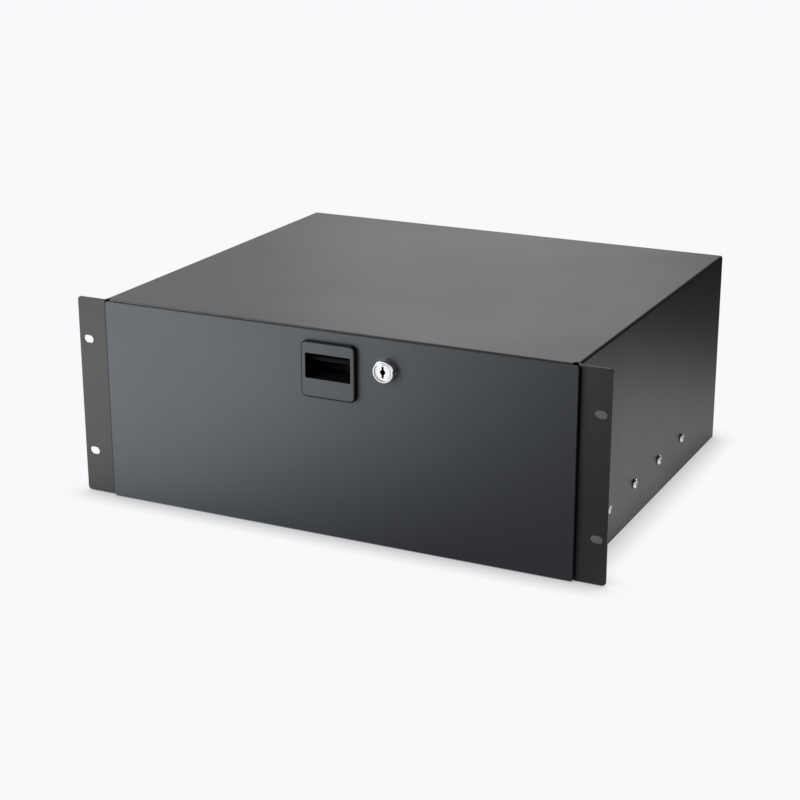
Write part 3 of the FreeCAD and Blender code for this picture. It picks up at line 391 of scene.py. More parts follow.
@dataclass(frozen=True)
class MouldedPlastic(Finish):
    """Black plastic with a fine spark-eroded grain."""

    grain: float = 2600.0
    depth: float = 0.03
    patch_scale: float = 40.0
    worn: Colour = (0.02, 0.02, 0.022)
    worn_share: float = 0.15
    specular: float = 0.2
    relief_share: float = 0.3
    polished: float = 0.08
    dulled: float = 0.06

    def dress(self, bench: Bench, shader: bpy.types.Node, place: bpy.types.NodeSocket) -> None:
        """Set the grain and a gloss that handling has evened out in patches."""
        grain = self.effect(bench, Effect.PEEL, place, Grain_Scale=self.grain)
        marks = self.effect(bench, Effect.HANDLING, place, Patch_Scale=self.patch_scale)
        tone = self.tint(bench, grain.outputs["Speckle"], self.worn, self.worn_share)
        bench.feed(shader.inputs["Base Color"], tone)
        shader.inputs["Specular IOR Level"].default_value = self.specular
        bench.feed(shader.inputs["Roughness"],
                   bench.spread(marks.outputs["Patches"], 0.0, 1.0,
                                self.roughness - self.polished,
                                self.roughness + self.dulled))
        self.relief(bench, shader, grain.outputs["Height"], self.depth, self.relief_share)


@dataclass(frozen=True)
class PolishedPlate(Finish):
    """Chrome or nickel over turned metal."""

    turning: float = 0.1
    clouding: float = 0.08
    cloud: Colour = (0.72, 0.71, 0.7)
    cloud_share: float = 0.12
    cloud_scale: float = 160.0
    scratch_scale: float = 2400.0
    scratch_depth: float = 0.004

    def dress(self, bench: Bench, shader: bpy.types.Node, place: bpy.types.NodeSocket) -> None:
        """Set a bright plate with faint clouding and micro scratches."""
        marks = self.effect(bench, Effect.HANDLING, place, Patch_Scale=self.cloud_scale)
        shader.inputs["Metallic"].default_value = 1.0
        cloud = self.tint(bench, marks.outputs["Patches"], self.cloud, self.cloud_share)
        bench.feed(shader.inputs["Base Color"], cloud)
        bench.feed(shader.inputs["Roughness"],
                   bench.spread(marks.outputs["Patches"], 0.0, 1.0, self.roughness,
                                self.roughness + self.clouding))
        scratches = self.effect(bench, Effect.BRUSH, place, Line_Scale=self.scratch_scale)
        self.relief(bench, shader, scratches.outputs["Height"], self.scratch_depth,
                    self.turning)


@dataclass(frozen=True)
class RolledZinc(Finish):
    """Cold-rolled steel under a thin bright zinc."""

    blue: Colour = (0.5, 0.53, 0.58)
    blue_share: float = 0.4
    streak_share: float = 0.12
    line_scale: float = 1100.0
    patch_scale: float = 30.0
    depth: float = 0.01
    relief_share: float = 0.25

    def dress(self, bench: Bench, shader: bpy.types.Node, place: bpy.types.NodeSocket) -> None:
        """Set the rolled lines, slightly blue patches and a semi-bright gloss."""
        lines = self.effect(bench, Effect.BRUSH, place, Line_Scale=self.line_scale)
        marks = self.effect(bench, Effect.HANDLING, place, Patch_Scale=self.patch_scale)
        shader.inputs["Metallic"].default_value = 1.0
        bench.feed(shader.inputs["Base Color"],
                   self.tint(bench, marks.outputs["Patches"], self.blue, self.blue_share))
        streaks = bench.math("MULTIPLY", lines.outputs["Streaks"], self.streak_share)
        gloss = bench.math("ADD", streaks, self.roughness)
        bench.feed(shader.inputs["Roughness"], gloss)
        self.relief(bench, shader, lines.outputs["Height"], self.depth, self.relief_share)


@dataclass(frozen=True)
class SoftRubber(Finish):
    """Matt black rubber with a dusty bloom."""

    bloom: Colour = (0.07, 0.07, 0.068)
    bloom_share: float = 0.5
    patch_scale: float = 50.0
    skin: float = 1800.0
    depth: float = 0.04
    relief_share: float = 0.4

    def dress(self, bench: Bench, shader: bpy.types.Node, place: bpy.types.NodeSocket) -> None:
        """Set the bloom and a coarse skin."""
        marks = self.effect(bench, Effect.HANDLING, place, Patch_Scale=self.patch_scale)
        skin = self.effect(bench, Effect.PEEL, place, Grain_Scale=self.skin)
        bench.feed(shader.inputs["Base Color"],
                   self.tint(bench, marks.outputs["Patches"], self.bloom, self.bloom_share))
        shader.inputs["Roughness"].default_value = self.roughness
        self.relief(bench, shader, skin.outputs["Height"], self.depth, self.relief_share)


FINISHES: dict[Slot, Finish] = {
    Slot.CASE_PAINT: PowderCoat("case_powder_coat", (0.027, 0.0268, 0.0262), 0.4),
    Slot.FRONT_PAINT: PowderCoat("front_powder_coat", (0.024, 0.0275, 0.033), 0.46),
    Slot.ZINC: RolledZinc("zinc_plate", (0.62, 0.63, 0.65), 0.28),
    Slot.BRIGHT_STEEL: PolishedPlate("nickel_plate", (0.74, 0.73, 0.7), 0.16),
    Slot.CHROME: PolishedPlate("chrome_plate", (0.97, 0.97, 0.96), 0.05, turning=0.01,
                               clouding=0.02, cloud=(0.95, 0.945, 0.93)),
    Slot.BLACK_PLASTIC: MouldedPlastic("black_moulding", (0.004, 0.004, 0.005), 0.55),
    Slot.RUBBER: SoftRubber("black_rubber", (0.022, 0.022, 0.022), 0.75),
}
# Dark brown for the keyway's walls: partly grease, partly painted shade that stands for the dark
# deep inside the keyhole.
KEYWAY_GREASE_AND_SHADE = MouldedPlastic("keyway_tarnish", (0.02, 0.014, 0.009), 0.6)


# ---------------------------------------------------------------- shaping


def runs_along(axis: Axis) -> EdgeTest:
    """Give a test for edges that run along an axis."""
    def test(edge: BMEdge) -> bool:
        """Say whether the edge does."""
        way = (edge.verts[1].co - edge.verts[0].co).normalized()
        return abs(way[axis.value]) > ALONG
    return test


def lies_at(axis: Axis, *places: float) -> EdgeTest:
    """Give a test for edges that lie wholly at one of some coordinates."""
    def test(edge: BMEdge) -> bool:
        """Say whether the edge does."""
        ends = [vert.co[axis.value] for vert in edge.verts]
        return any(all(abs(end - place) < CLOSE for end in ends) for place in places)
    return test


def both(*tests: EdgeTest) -> EdgeTest:
    """Give a test that passes where all of some tests pass."""
    return lambda edge: all(test(edge) for test in tests)


def is_sharp(edge: BMEdge) -> bool:
    """Say whether two faces meet at the edge by more than about 50 degrees."""
    return len(edge.link_faces) == 2 and edge.calc_face_angle(0.0) > SHARP


class Form:
    """A mesh in the making, in millimetres, in the rack's frame."""

    def __init__(self) -> None:
        """Start with nothing."""
        self.mesh = bmesh.new()

    @classmethod
    def block(cls, low: Point, high: Point) -> "Form":
        """Make a box.

        Args:
            low: its lowest corner.
            high: its highest corner.

        Returns:
            The new form.
        """
        form = cls()
        start, end = Vector(low), Vector(high)
        place = Matrix.Translation((start + end) / 2) @ Matrix.Diagonal((*(end - start), 1.0))
        bmesh.ops.create_cube(form.mesh, size=1.0, matrix=place)
        return form

    @classmethod
    def plate(cls, low: Point, high: Point, corner: float, steps: int = 8) -> "Form":
        """Make a flat plate that faces the front, with its four corners rounded.

        Args:
            low: its lowest corner.
            high: its highest corner.
            corner: the radius of its rounded corners.
            steps: faces round each corner.

        Returns:
            The new form.
        """
        return cls.block(low, high).round(runs_along(Axis.Y), corner, steps)

    @classmethod
    def turned(cls, profile: Sequence[tuple[float, float]], place: Matrix,
               rounding: float = 0.0, steps: int = 64) -> "Form":
        """Turn a profile about the Z axis, then set it in place.

        Args:
            profile: radius and height of each corner, from one end on the axis to the other.
            place: where the turned piece goes.
            rounding: radius that breaks each of the profile's corners.
            steps: faces round the axis.

        Returns:
            The new form.
        """
        form = cls()
        verts = [form.mesh.verts.new((radius, 0.0, height)) for radius, height in profile]
        for first, second in zip(verts, verts[1:]):
            form.mesh.edges.new((first, second))
        if rounding:
            bmesh.ops.bevel(form.mesh, geom=verts[1:-1], offset=rounding, segments=3,
                            profile=0.5, affect="VERTICES", material=-1, clamp_overlap=True)
        bmesh.ops.spin(form.mesh, geom=[*form.mesh.verts, *form.mesh.edges], cent=(0, 0, 0),
                       axis=(0, 0, 1), angle=math.tau, steps=steps, use_merge=True)
        bmesh.ops.remove_doubles(form.mesh, verts=form.mesh.verts, dist=WELD)
        return form.facing_out().moved(place)

    @classmethod
    def rod(cls, radius: float, start: float, end: float, place: Matrix,
            rounding: float = 0.0, steps: int = 64) -> "Form":
        """Turn a plain round bar.

        Args:
            radius: its radius.
            start: where it begins on its own Z axis.
            end: where it ends there.
            place: where the bar goes.
            rounding: radius that breaks its two rims.
            steps: faces round the axis.

        Returns:
            The new form.
        """
        return cls.turned([(0, start), (radius, start), (radius, end), (0, end)], place,
                          rounding, steps)

    @classmethod
    def bar(cls, outline: Sequence[Point], run: Point) -> "Form":
        """Sweep a closed outline along a straight line.

        Args:
            outline: the corners of one end.
            run: how far and which way it is swept.

        Returns:
            The new form.
        """
        form = cls()
        end = form.mesh.faces.new([form.mesh.verts.new(corner) for corner in outline])
        grown = bmesh.ops.extrude_face_region(form.mesh, geom=[end])
        moved = [item for item in grown["geom"] if isinstance(item, bmesh.types.BMVert)]
        bmesh.ops.translate(form.mesh, vec=run, verts=moved)
        return form.facing_out()

    @classmethod
    def folded(cls, path: Sequence[Point], run: Point, sheet: float, bend: float,
               steps: int = 6) -> "Form":
        """Fold a strip of sheet metal.

        Args:
            path: the corners that one face of the sheet passes through, before bending.
            run: how far and which way the section is drawn out.
            sheet: thickness, on the inner side of the path as the run comes towards the eye.
            bend: radius of the path's face at each fold.
            steps: faces round each fold.

        Returns:
            The new form.
        """
        form = cls()
        verts = [form.mesh.verts.new(corner) for corner in path]
        edges = [form.mesh.edges.new(pair) for pair in zip(verts, verts[1:])]
        grown = bmesh.ops.extrude_edge_only(form.mesh, edges=edges)
        moved = [item for item in grown["geom"] if isinstance(item, bmesh.types.BMVert)]
        bmesh.ops.translate(form.mesh, vec=run, verts=moved)
        folds = [edge for edge in form.mesh.edges if len(edge.link_faces) == 2]
        bmesh.ops.bevel(form.mesh, geom=folds, offset=bend, segments=steps, profile=0.5,
                        affect="EDGES", material=-1)
        bmesh.ops.recalc_face_normals(form.mesh, faces=form.mesh.faces)
        form._face_away(path, run)
        bmesh.ops.solidify(form.mesh, geom=list(form.mesh.faces), thickness=sheet)
        return form.facing_out()

    def _face_away(self, path: Sequence[Point], run: Point) -> None:
        """Turn the strip's faces away from the side that the sheet grows to."""
        first = Vector(path[1]) - Vector(path[0])
        away = Vector(run).cross(first).normalized()
        self.mesh.faces.ensure_lookup_table()
        self.mesh.normal_update()
        start = min(self.mesh.faces,
                    key=lambda face: (face.calc_center_median() - Vector(path[0])).length)
        if start.normal.dot(away) < 0:
            bmesh.ops.reverse_faces(self.mesh, faces=list(self.mesh.faces))

    def facing_out(self) -> "Form":
        """Turn every face outward."""
        bmesh.ops.recalc_face_normals(self.mesh, faces=list(self.mesh.faces))
        return self

    def moved(self, place: Matrix) -> "Form":
        """Move the whole form by a matrix."""
        self.mesh.transform(place)
        return self

    def round(self, chosen: EdgeTest, radius: float, steps: int = 3) -> "Form":
        """Round the edges that a test picks.

        Args:
            chosen: the test.
            radius: the rounding's radius.
            steps: faces across it.

        Returns:
            This form.
        """
        edges = [edge for edge in self.mesh.edges if chosen(edge)]
        if edges:
            bmesh.ops.bevel(self.mesh, geom=edges, offset=radius, segments=steps, profile=0.5,
                            affect="EDGES", material=-1, clamp_overlap=True)
        return self

    def joined(self, *others: "Form") -> "Form":
        """Take other forms into this one, as separate shells."""
        for other in others:
            spare = bpy.data.meshes.new("spare")
            other.mesh.to_mesh(spare)
            self.mesh.from_mesh(spare)
            bpy.data.meshes.remove(spare)
        return self

    def fused(self, *others: "Form") -> "Form":
        """Unite this form with others."""
        return self._combined("UNION", others)

    def cut(self, *others: "Form") -> "Form":
        """Cut others out of this form."""
        return self._combined("DIFFERENCE", others)

    def _combined(self, operation: str, others: Sequence["Form"]) -> "Form":
        """Run a solid operation with each of some forms.

        Args:
            operation: the boolean modifier's operation.
            others: the forms that are added or taken away.

        Returns:
            This form.
        """
        for other in others:
            pair = []
            for form in (self, other):
                spare = bpy.data.meshes.new("spare")
                form.mesh.to_mesh(spare)
                pair.append(bpy.data.objects.new("spare", spare))
                bpy.context.scene.collection.objects.link(pair[-1])
            tool = pair[0].modifiers.new("tool", "BOOLEAN")
            tool.operation, tool.object, tool.solver = operation, pair[1], "EXACT"
            graph = bpy.context.evaluated_depsgraph_get()
            result = bpy.data.meshes.new_from_object(pair[0].evaluated_get(graph))
            self.mesh.clear()
            self.mesh.from_mesh(result)
            for spare in pair:
                mesh = spare.data
                bpy.data.objects.remove(spare)
                bpy.data.meshes.remove(mesh)
            bpy.data.meshes.remove(result)
        return self

    def finished(self, name: str, slot: Slot, body: str, *stands_for: str,
                 lining: Finish | None = None, lined: FaceTest = lambda face: False,
                 sharp: float = 38.0, even: bool = True) -> bpy.types.Object:
        """Make the form a piece of the drawer.

        Args:
            name: the piece's name.
            slot: the record's material slot that it wears.
            body: the moving body that it rides on, or nothing for one that joins two.
            stands_for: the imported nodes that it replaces.
            lining: a second finish, for some of its faces.
            lined: the test that picks those faces.
            sharp: edges above this angle in degrees stay crisp.
            even: whether the wide faces shade flat and only the narrow ones bend the light.

        Returns:
            The finished object.
        """
        for face in self.mesh.faces:
            face.smooth = True
            face.material_index = int(lined(face))
        self.mesh.transform(Matrix.Scale(MM, 4))
        data = bpy.data.meshes.new(name)
        self.mesh.to_mesh(data)
        self.mesh.free()
        data.materials.append(FINISHES[slot].material())
        if lining:
            data.materials.append(lining.material())
        data.set_sharp_from_angle(angle=math.radians(sharp))
        piece = bpy.data.objects.new(name, data)
        bpy.context.scene.collection.objects.link(piece)
        if even:
            piece.modifiers.new("even_shading", "WEIGHTED_NORMAL").keep_sharp = True
        if body:
            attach(piece, body)
        if stands_for:
            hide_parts(*stands_for)
        LOG.info("%s: %d faces on %s", name, len(data.polygons), body or "two bodies")
        return piece


def facing(hand: Hand, spot: Point) -> Matrix:
    """Give the place of a turned piece whose own Z points out to the left or right."""
    return Matrix.Translation(spot) @ Matrix.Rotation(hand.value * math.pi / 2, 4, "Y")


def facing_rear(x: float, z: float, y: float = 0.0) -> Matrix:
    """Give the place of a turned piece whose own Z points to the rear."""
    return Matrix.Translation((x, y, z)) @ Matrix.Rotation(-math.pi / 2, 4, "X")


# ---------------------------------------------------------------- case


@dataclass
class Case:
    """The case's outer sheet: the top and sides, the two slotted ears and the lip."""

    half_width: float = 214.0
    top: float = 88.5
    depth: float = 373.0
    sheet: float = 1.5
    fold: float = 2.2
    lip_fold: float = 0.8
    ear_fold: float = 2.8
    left_ear_fold: float = 1.0
    ear_reach: float = 241.3
    ear_half_height: float = 88.0
    ear_corner: float = 3.0
    flat_from: float = 220.0
    slot_x: float = 232.55
    slot_z: float = 50.8
    slot_length: float = 10.0
    slot_height: float = 7.0
    punch: tuple[float, float] = (-4.0, 3.0)
    lip_half: float = 209.0
    lip_low: float = 78.5
    rim: float = 0.22
    screw_y: tuple[float, ...] = (76.5, 140.5, 204.5, 268.5)
    screw_z: float = -56.5
    screw_hole: float = 2.15

    def hood(self) -> Form:
        """Fold the top and the two sides, and drill the screw holes in them."""
        wide, top = self.half_width, self.top
        path = [(wide, self.ear_fold, -top), (wide, self.ear_fold, top),
                (-wide, self.ear_fold, top), (-wide, self.ear_fold, -top)]
        hood = Form.folded(path, (0, self.depth - self.ear_fold, 0), self.sheet, self.fold)
        rims = lies_at(Axis.Z, -top)
        hood.round(lambda edge: is_sharp(edge)
                   and (rims(edge) or lies_at(Axis.Y, self.depth)(edge)), self.rim, 2)
        return hood.cut(*(Form.rod(self.screw_hole, -PAST, 2 * wide + PAST,
                                   facing(Hand.RIGHT, (-wide, y, self.screw_z)), steps=24)
                          for y in self.screw_y))

    def ear(self, hand: Hand) -> Form:
        """Fold one ear outward and punch its two slots."""
        side, high = hand.value, self.ear_half_height
        wide, reach = side * self.half_width, side * self.ear_reach
        path = [(wide, self.ear_fold + OVERLAP, -high), (wide, 0, -high), (reach, 0, -high)]
        fold = self.ear_fold
        if hand is Hand.LEFT:
            path.reverse()
            fold = self.left_ear_fold
        ear = Form.folded(path, (0, 0, 2 * high), self.sheet, fold)
        ear.round(both(runs_along(Axis.Y), lies_at(Axis.X, reach)), self.ear_corner, 8)
        ear.round(lambda edge: is_sharp(edge)
                  and all(abs(vert.co.x) > self.flat_from for vert in edge.verts),
                  self.rim, 2)
        middle, far, half = side * self.slot_x, self.slot_length / 2, self.slot_height / 2
        start, end = self.punch
        return ear.cut(*(Form.plate((middle - far, start, z - half),
                                    (middle + far, end, z + half), half - 0.001, 12)
                         for z in (-self.slot_z, self.slot_z)))

    def lip(self) -> Form:
        """Fold the top's front edge down."""
        path = [(-self.lip_half, -self.sheet, self.lip_low),
                (-self.lip_half, -self.sheet, self.top),
                (-self.lip_half, self.ear_fold + OVERLAP, self.top)]
        lip = Form.folded(path, (2 * self.lip_half, 0, 0), self.sheet, self.lip_fold)
        return lip.round(lambda edge: is_sharp(edge)
                         and all(vert.co.y < self.ear_fold - 0.2 for vert in edge.verts),
                         self.rim, 2)

    def build(self) -> None:
        """Make the case's outer sheet in one piece."""
        shell = self.hood().joined(self.ear(Hand.LEFT), self.ear(Hand.RIGHT), self.lip())
        shell.finished("case_sheet", Slot.CASE_PAINT, "case", "case_shell")


# ---------------------------------------------------------------- latch


@dataclass
class Latch:
    """Finger latch: moulded housing, painted face plate, lever and bolt."""

    x: float = 3.5
    z: float = 58.6
    mouth: tuple[float, float] = (20.5, 10.6)
    mouth_corner: float = 1.0
    base_half: float = 24.4
    base_low: float = 32.0
    base_top: float = 79.0
    base_corner: float = 4.6
    base_front: float = -8.1
    seat: float = -7.3
    panel_front: float = -4.7
    inset: float = 0.95
    play: float = 0.12
    plate_front: float = -8.5
    cup: tuple[float, float] = (21.7, 12.1)
    cup_rear: float = 20.0
    wall_rear: float = 22.0
    channel_rear: float = 27.5
    tower_top: float = 74.5
    guide_half: float = 12.65
    passage: tuple[float, float] = (4.3, 5.2)
    peg_x: float = 10.4
    peg_z: float = 62.6
    peg_half: float = 1.2
    peg_rear: float = 29.1
    pivot: tuple[float, float] = (10.0, 63.5)
    pin_hole: float = 1.05
    hub: float = 2.6
    side_gap: float = 0.3
    blade_front: float = -0.5
    blade_half: float = 1.2
    nose: float = -1.7
    grip_rear: float = 1.1
    grip_drop: float = 2.3
    arm: Point = (4.0, 14.2, 0.8)
    arm_tip: float = 1.2
    bolt_half: float = 8.0
    bolt_low: float = 59.0
    bolt_top: float = 77.0
    bolt_front: float = 22.2
    bolt_rear: float = 27.2
    bolt_ramp: float = 3.4
    bolt_play: float = 0.15
    notch: Point = (4.5, 3.6, 1.5)
    flange_round: float = 0.4
    plate_round: float = 0.35
    moulded_round: float = 0.3
    bolt_round: float = 0.25
    peg_round: float = 0.2

    def mouth_tool(self, rear: float) -> Form:
        """Give the finger opening's form, to cut with, as far as a place behind the plate."""
        wide, high = self.mouth
        return Form.plate((self.x - wide, self.plate_front - PAST, self.z - high),
                          (self.x + wide, rear, self.z + high), self.mouth_corner, 5)

    def rim(self, inset: float, front: float, rear: float) -> Form:
        """Give the flange's outline, drawn in all round.

        Args:
            inset: how far it is drawn in.
            front: where its front lies.
            rear: where its rear lies.

        Returns:
            The new form.
        """
        return Form.plate((self.x - self.base_half + inset, front, self.base_low + inset),
                          (self.x + self.base_half - inset, rear, self.base_top - inset),
                          self.base_corner - inset, 10)

    def housing(self) -> None:
        """Mould the flange, the cup, the bolt channel and the cover's pegs in one piece."""
        x, z, (wide, high) = self.x, self.z, self.cup
        shell = self.rim(0.0, self.base_front, self.panel_front)
        shell.round(both(is_sharp, lies_at(Axis.Y, self.base_front)), self.flange_round, 4)
        cup = Form.plate((x - wide, self.panel_front - PAST / 2, z - high),
                         (x + wide, self.wall_rear, z + high), self.mouth_corner, 4)
        channel = Form.block((x - self.guide_half, self.cup_rear, z - high),
                             (x + self.guide_half, self.channel_rear, self.tower_top))
        channel.round(both(is_sharp, lies_at(Axis.Y, self.channel_rear)),
                      self.moulded_round, 2)
        room = self.bolt_half + self.bolt_play
        pocket = Form.block((x - room, self.wall_rear, z - self.mouth[1]),
                            (x + room, self.channel_rear + PAST, self.tower_top + PAST))
        passage = Form.block((x - self.passage[0], self.cup_rear - PAST,
                              self.pivot[1] - self.passage[1]),
                             (x + self.passage[0], self.wall_rear + PAST,
                              self.pivot[1] + self.passage[1]))
        recess = self.rim(self.inset - self.play, self.plate_front - PAST, self.seat)
        shell.fused(cup, channel)
        shell.cut(recess, self.mouth_tool(self.cup_rear), pocket, passage)
        for middle in (x - self.peg_x, x + self.peg_x):
            peg = Form.block((middle - self.peg_half, self.channel_rear - self.moulded_round,
                              self.peg_z - self.peg_half),
                             (middle + self.peg_half, self.peg_rear,
                              self.peg_z + self.peg_half))
            shell.joined(peg.round(is_sharp, self.peg_round, 2))
        shell.finished("latch_moulding", Slot.BLACK_PLASTIC, "drawer", "latch_housing")

    def face_plate(self) -> None:
        """Make the painted plate that covers all but the flange's edge."""
        plate = self.rim(self.inset, self.plate_front, self.seat)
        plate.round(both(is_sharp, lies_at(Axis.Y, self.plate_front)), self.plate_round, 3)
        plate.cut(self.mouth_tool(0.0))
        plate.finished("latch_plate", Slot.FRONT_PAINT, "drawer", "latch_faceplate")

    def lever(self) -> None:
        """Make the finger plate with its hub, grip lip and rear arm."""
        (y, z), half = self.pivot, self.blade_half
        wide = self.mouth[0] - self.side_gap
        left, front, grip = self.x - wide, self.blade_front, z - self.grip_drop
        blade = Form.bar([(left, y, z + half), (left, front, z + half), (left, self.nose, z),
                          (left, front, z - half), (left, front, grip),
                          (left, self.grip_rear, grip), (left, self.grip_rear, z - half),
                          (left, y, z - half)], (2 * wide, 0, 0))
        blade.round(both(is_sharp, runs_along(Axis.X)), self.moulded_round, 3)
        across = facing(Hand.RIGHT, (left, y, z))
        hub = Form.rod(self.hub, 0, 2 * wide, across, 0.2, 32)
        arm_half, reach, thick = self.arm
        arm = Form.block((self.x - arm_half, y, z - thick),
                         (self.x + arm_half, y + reach, z + thick))
        tip = Form.rod(self.arm_tip, 0, 2 * arm_half,
                       facing(Hand.RIGHT, (self.x - arm_half, y + reach, z)), 0.1, 24)
        lever = blade.fused(hub, arm, tip)
        lever.cut(Form.rod(self.pin_hole, -PAST, 2 * wide + PAST, across, steps=24))
        lever.finished("latch_finger_lever", Slot.BLACK_PLASTIC, "latch_lever", "latch_lever")

    def bolt(self) -> None:
        """Make the bolt with its ramp and the notch for the lever's tip."""
        left, low, top = self.x - self.bolt_half, self.bolt_low, self.bolt_top
        front, rear, ramp = self.bolt_front, self.bolt_rear, self.bolt_ramp
        bolt = Form.bar([(left, front, low), (left, front, top), (left, rear - ramp, top),
                         (left, rear, top - ramp), (left, rear, low)],
                        (2 * self.bolt_half, 0, 0))
        bolt.round(is_sharp, self.bolt_round, 2)
        wide, deep, high = self.notch
        bolt.cut(Form.block((self.x - wide, front - PAST, self.pivot[1] - high),
                            (self.x + wide, front + deep, self.pivot[1] + high)))
        bolt.finished("latch_slam_bolt", Slot.BLACK_PLASTIC, "latch_bolt", "latch_bolt")

    def build(self) -> None:
        """Make every piece of the latch but its spring."""
        self.housing()
        self.face_plate()
        self.lever()
        self.bolt()


# ---------------------------------------------------------------- lock


@dataclass
class Lock:
    """Cam lock: collar and barrel, and the plug with its keyway."""

    x: float = 53.5
    z: float = 62.2
    front: float = -10.2
    panel_front: float = Latch.panel_front
    collar: float = 9.4
    collar_bevel: float = 0.75
    foot_groove: float = 0.25
    foot_step: float = 0.3
    barrel: float = 8.0
    flat: float = 7.0
    rear: float = 22.0
    sink: float = 7.6
    bore: float = 5.9
    ledge: float = -6.9
    plug_front: float = -10.0
    plug_face: float = 7.25
    plug_head: float = 3.0
    plug_bevel: float = 0.3
    plug_shank: float = 5.8
    ring: float = 6.3
    ring_half: float = 0.15
    ring_depth: float = 0.25
    key_height: float = 9.6
    key_slit: float = 1.9
    key_belly: float = 4.7
    key_middle: float = 1.4
    key_depth: float = 9.0
    tail_half: float = 3.5
    tail_length: float = 2.15
    tail_round: float = 0.2
    collar_round: float = 0.12
    plug_round: float = 0.06
    steps: int = 96
    margin: float = 0.05

    def collar_and_barrel(self) -> None:
        """Turn the collar with a stepped rim, and mill the barrel's flats."""
        foot, step, edge = self.panel_front, self.foot_step, self.collar_bevel
        profile = [(self.sink, self.front), (self.collar - edge, self.front),
                   (self.collar, self.front + edge), (self.collar, foot - 3 * step),
                   (self.collar - self.foot_groove, foot - 2 * step),
                   (self.collar, foot - step), (self.collar, foot), (self.barrel, foot),
                   (self.barrel, self.rear), (self.bore, self.rear), (self.bore, self.ledge),
                   (self.sink, self.ledge), (self.sink, self.front)]
        body = Form.turned(profile, facing_rear(self.x, self.z), self.collar_round, self.steps)
        for side in (-1, 1):
            ends = sorted((self.x + side * self.flat, self.x + side * (self.barrel + PAST)))
            body.cut(Form.block((ends[0], foot + 0.001, self.z - self.barrel - PAST),
                                (ends[1], self.rear + PAST, self.z + self.barrel + PAST)))
        body.finished("lock_collar_barrel", Slot.CHROME, "drawer", "lock_body")

    def plug(self) -> None:
        """Turn the plug with a ring groove in its face, and broach the keyway."""
        face, head, edge = self.plug_front, self.plug_front + self.plug_head, self.plug_bevel
        profile = [(0, face), (self.ring - self.ring_half, face),
                   (self.ring, face + self.ring_depth), (self.ring + self.ring_half, face),
                   (self.plug_face - edge, face), (self.plug_face, face + edge),
                   (self.plug_face, head), (self.plug_shank, head),
                   (self.plug_shank, self.rear), (0, self.rear)]
        plug = Form.turned(profile, facing_rear(self.x, self.z), self.plug_round, self.steps)
        slit, belly, top = self.key_slit / 2, self.key_belly / 2, self.key_height / 2
        middle = self.key_middle / 2
        right = [(slit, -top), (slit, -top / 2), (belly, -middle), (belly, middle),
                 (slit, top / 2), (slit, top)]
        corners = [(-slit, -top), *right, *((-across, up) for across, up in right[:0:-1])]
        plug.cut(Form.bar([(self.x + across, face - PAST, self.z + up)
                           for across, up in corners], (0, self.key_depth + PAST, 0)))
        half = self.tail_half
        tail = Form.block((self.x - half, self.rear, self.z - half),
                          (self.x + half, self.rear + self.tail_length, self.z + half))
        plug.joined(tail.round(is_sharp, self.tail_round, 2))
        # The keyway's walls wear the dark lining: grease with painted shade.
        plug.finished("lock_turning_plug", Slot.CHROME, "lock_plug", "lock_plug",
                      lining=KEYWAY_GREASE_AND_SHADE, lined=self.in_keyway)

    def in_keyway(self, face: BMFace) -> bool:
        """Say whether a face is one of the keyway's walls, which wear the grease and painted-shade
        lining.
        """
        across, deep, up = face.calc_center_median() - Vector((self.x, self.front, self.z))
        return (self.ring_depth + self.margin < deep < self.key_depth + 10 * self.margin
                and abs(across) < self.key_belly / 2 + self.margin
                and abs(up) < self.key_height / 2 + self.margin)

    def build(self) -> None:
        """Make every piece of the lock."""
        self.collar_and_barrel()
        self.plug()


# ---------------------------------------------------------------- drawer front


@dataclass
class DrawerFront:
    """The flat drawer front, with openings for the latch and the lock."""

    half_width: float = 213.25
    offset: float = 1.85
    low: float = -88.0
    top: float = 87.4
    front: float = Latch.panel_front
    rear: float = -2.7
    corner: float = 2.0
    edge: float = 0.55
    cup: tuple[float, float] = (22.0, 12.4)
    cup_corner: float = 1.0
    lock_hole: float = 8.15

    def build(self) -> None:
        """Round the sheet's corners and front edge, then cut the latch and lock openings."""
        sheet = Form.plate((self.offset - self.half_width, self.front, self.low),
                           (self.offset + self.half_width, self.rear, self.top), self.corner)
        sheet.round(both(is_sharp, lies_at(Axis.Y, self.front)), self.edge, 4)
        wide, high = self.cup
        cup = Form.plate((Latch.x - wide, self.front - PAST, Latch.z - high),
                         (Latch.x + wide, self.rear + PAST, Latch.z + high),
                         self.cup_corner, 4)
        barrel = Form.rod(self.lock_hole, self.front - PAST, self.rear + PAST,
                          facing_rear(Lock.x, Lock.z))
        sheet.cut(cup, barrel)
        sheet.finished("front_sheet", Slot.FRONT_PAINT, "drawer", "front_panel")


# ---------------------------------------------------------------- screws


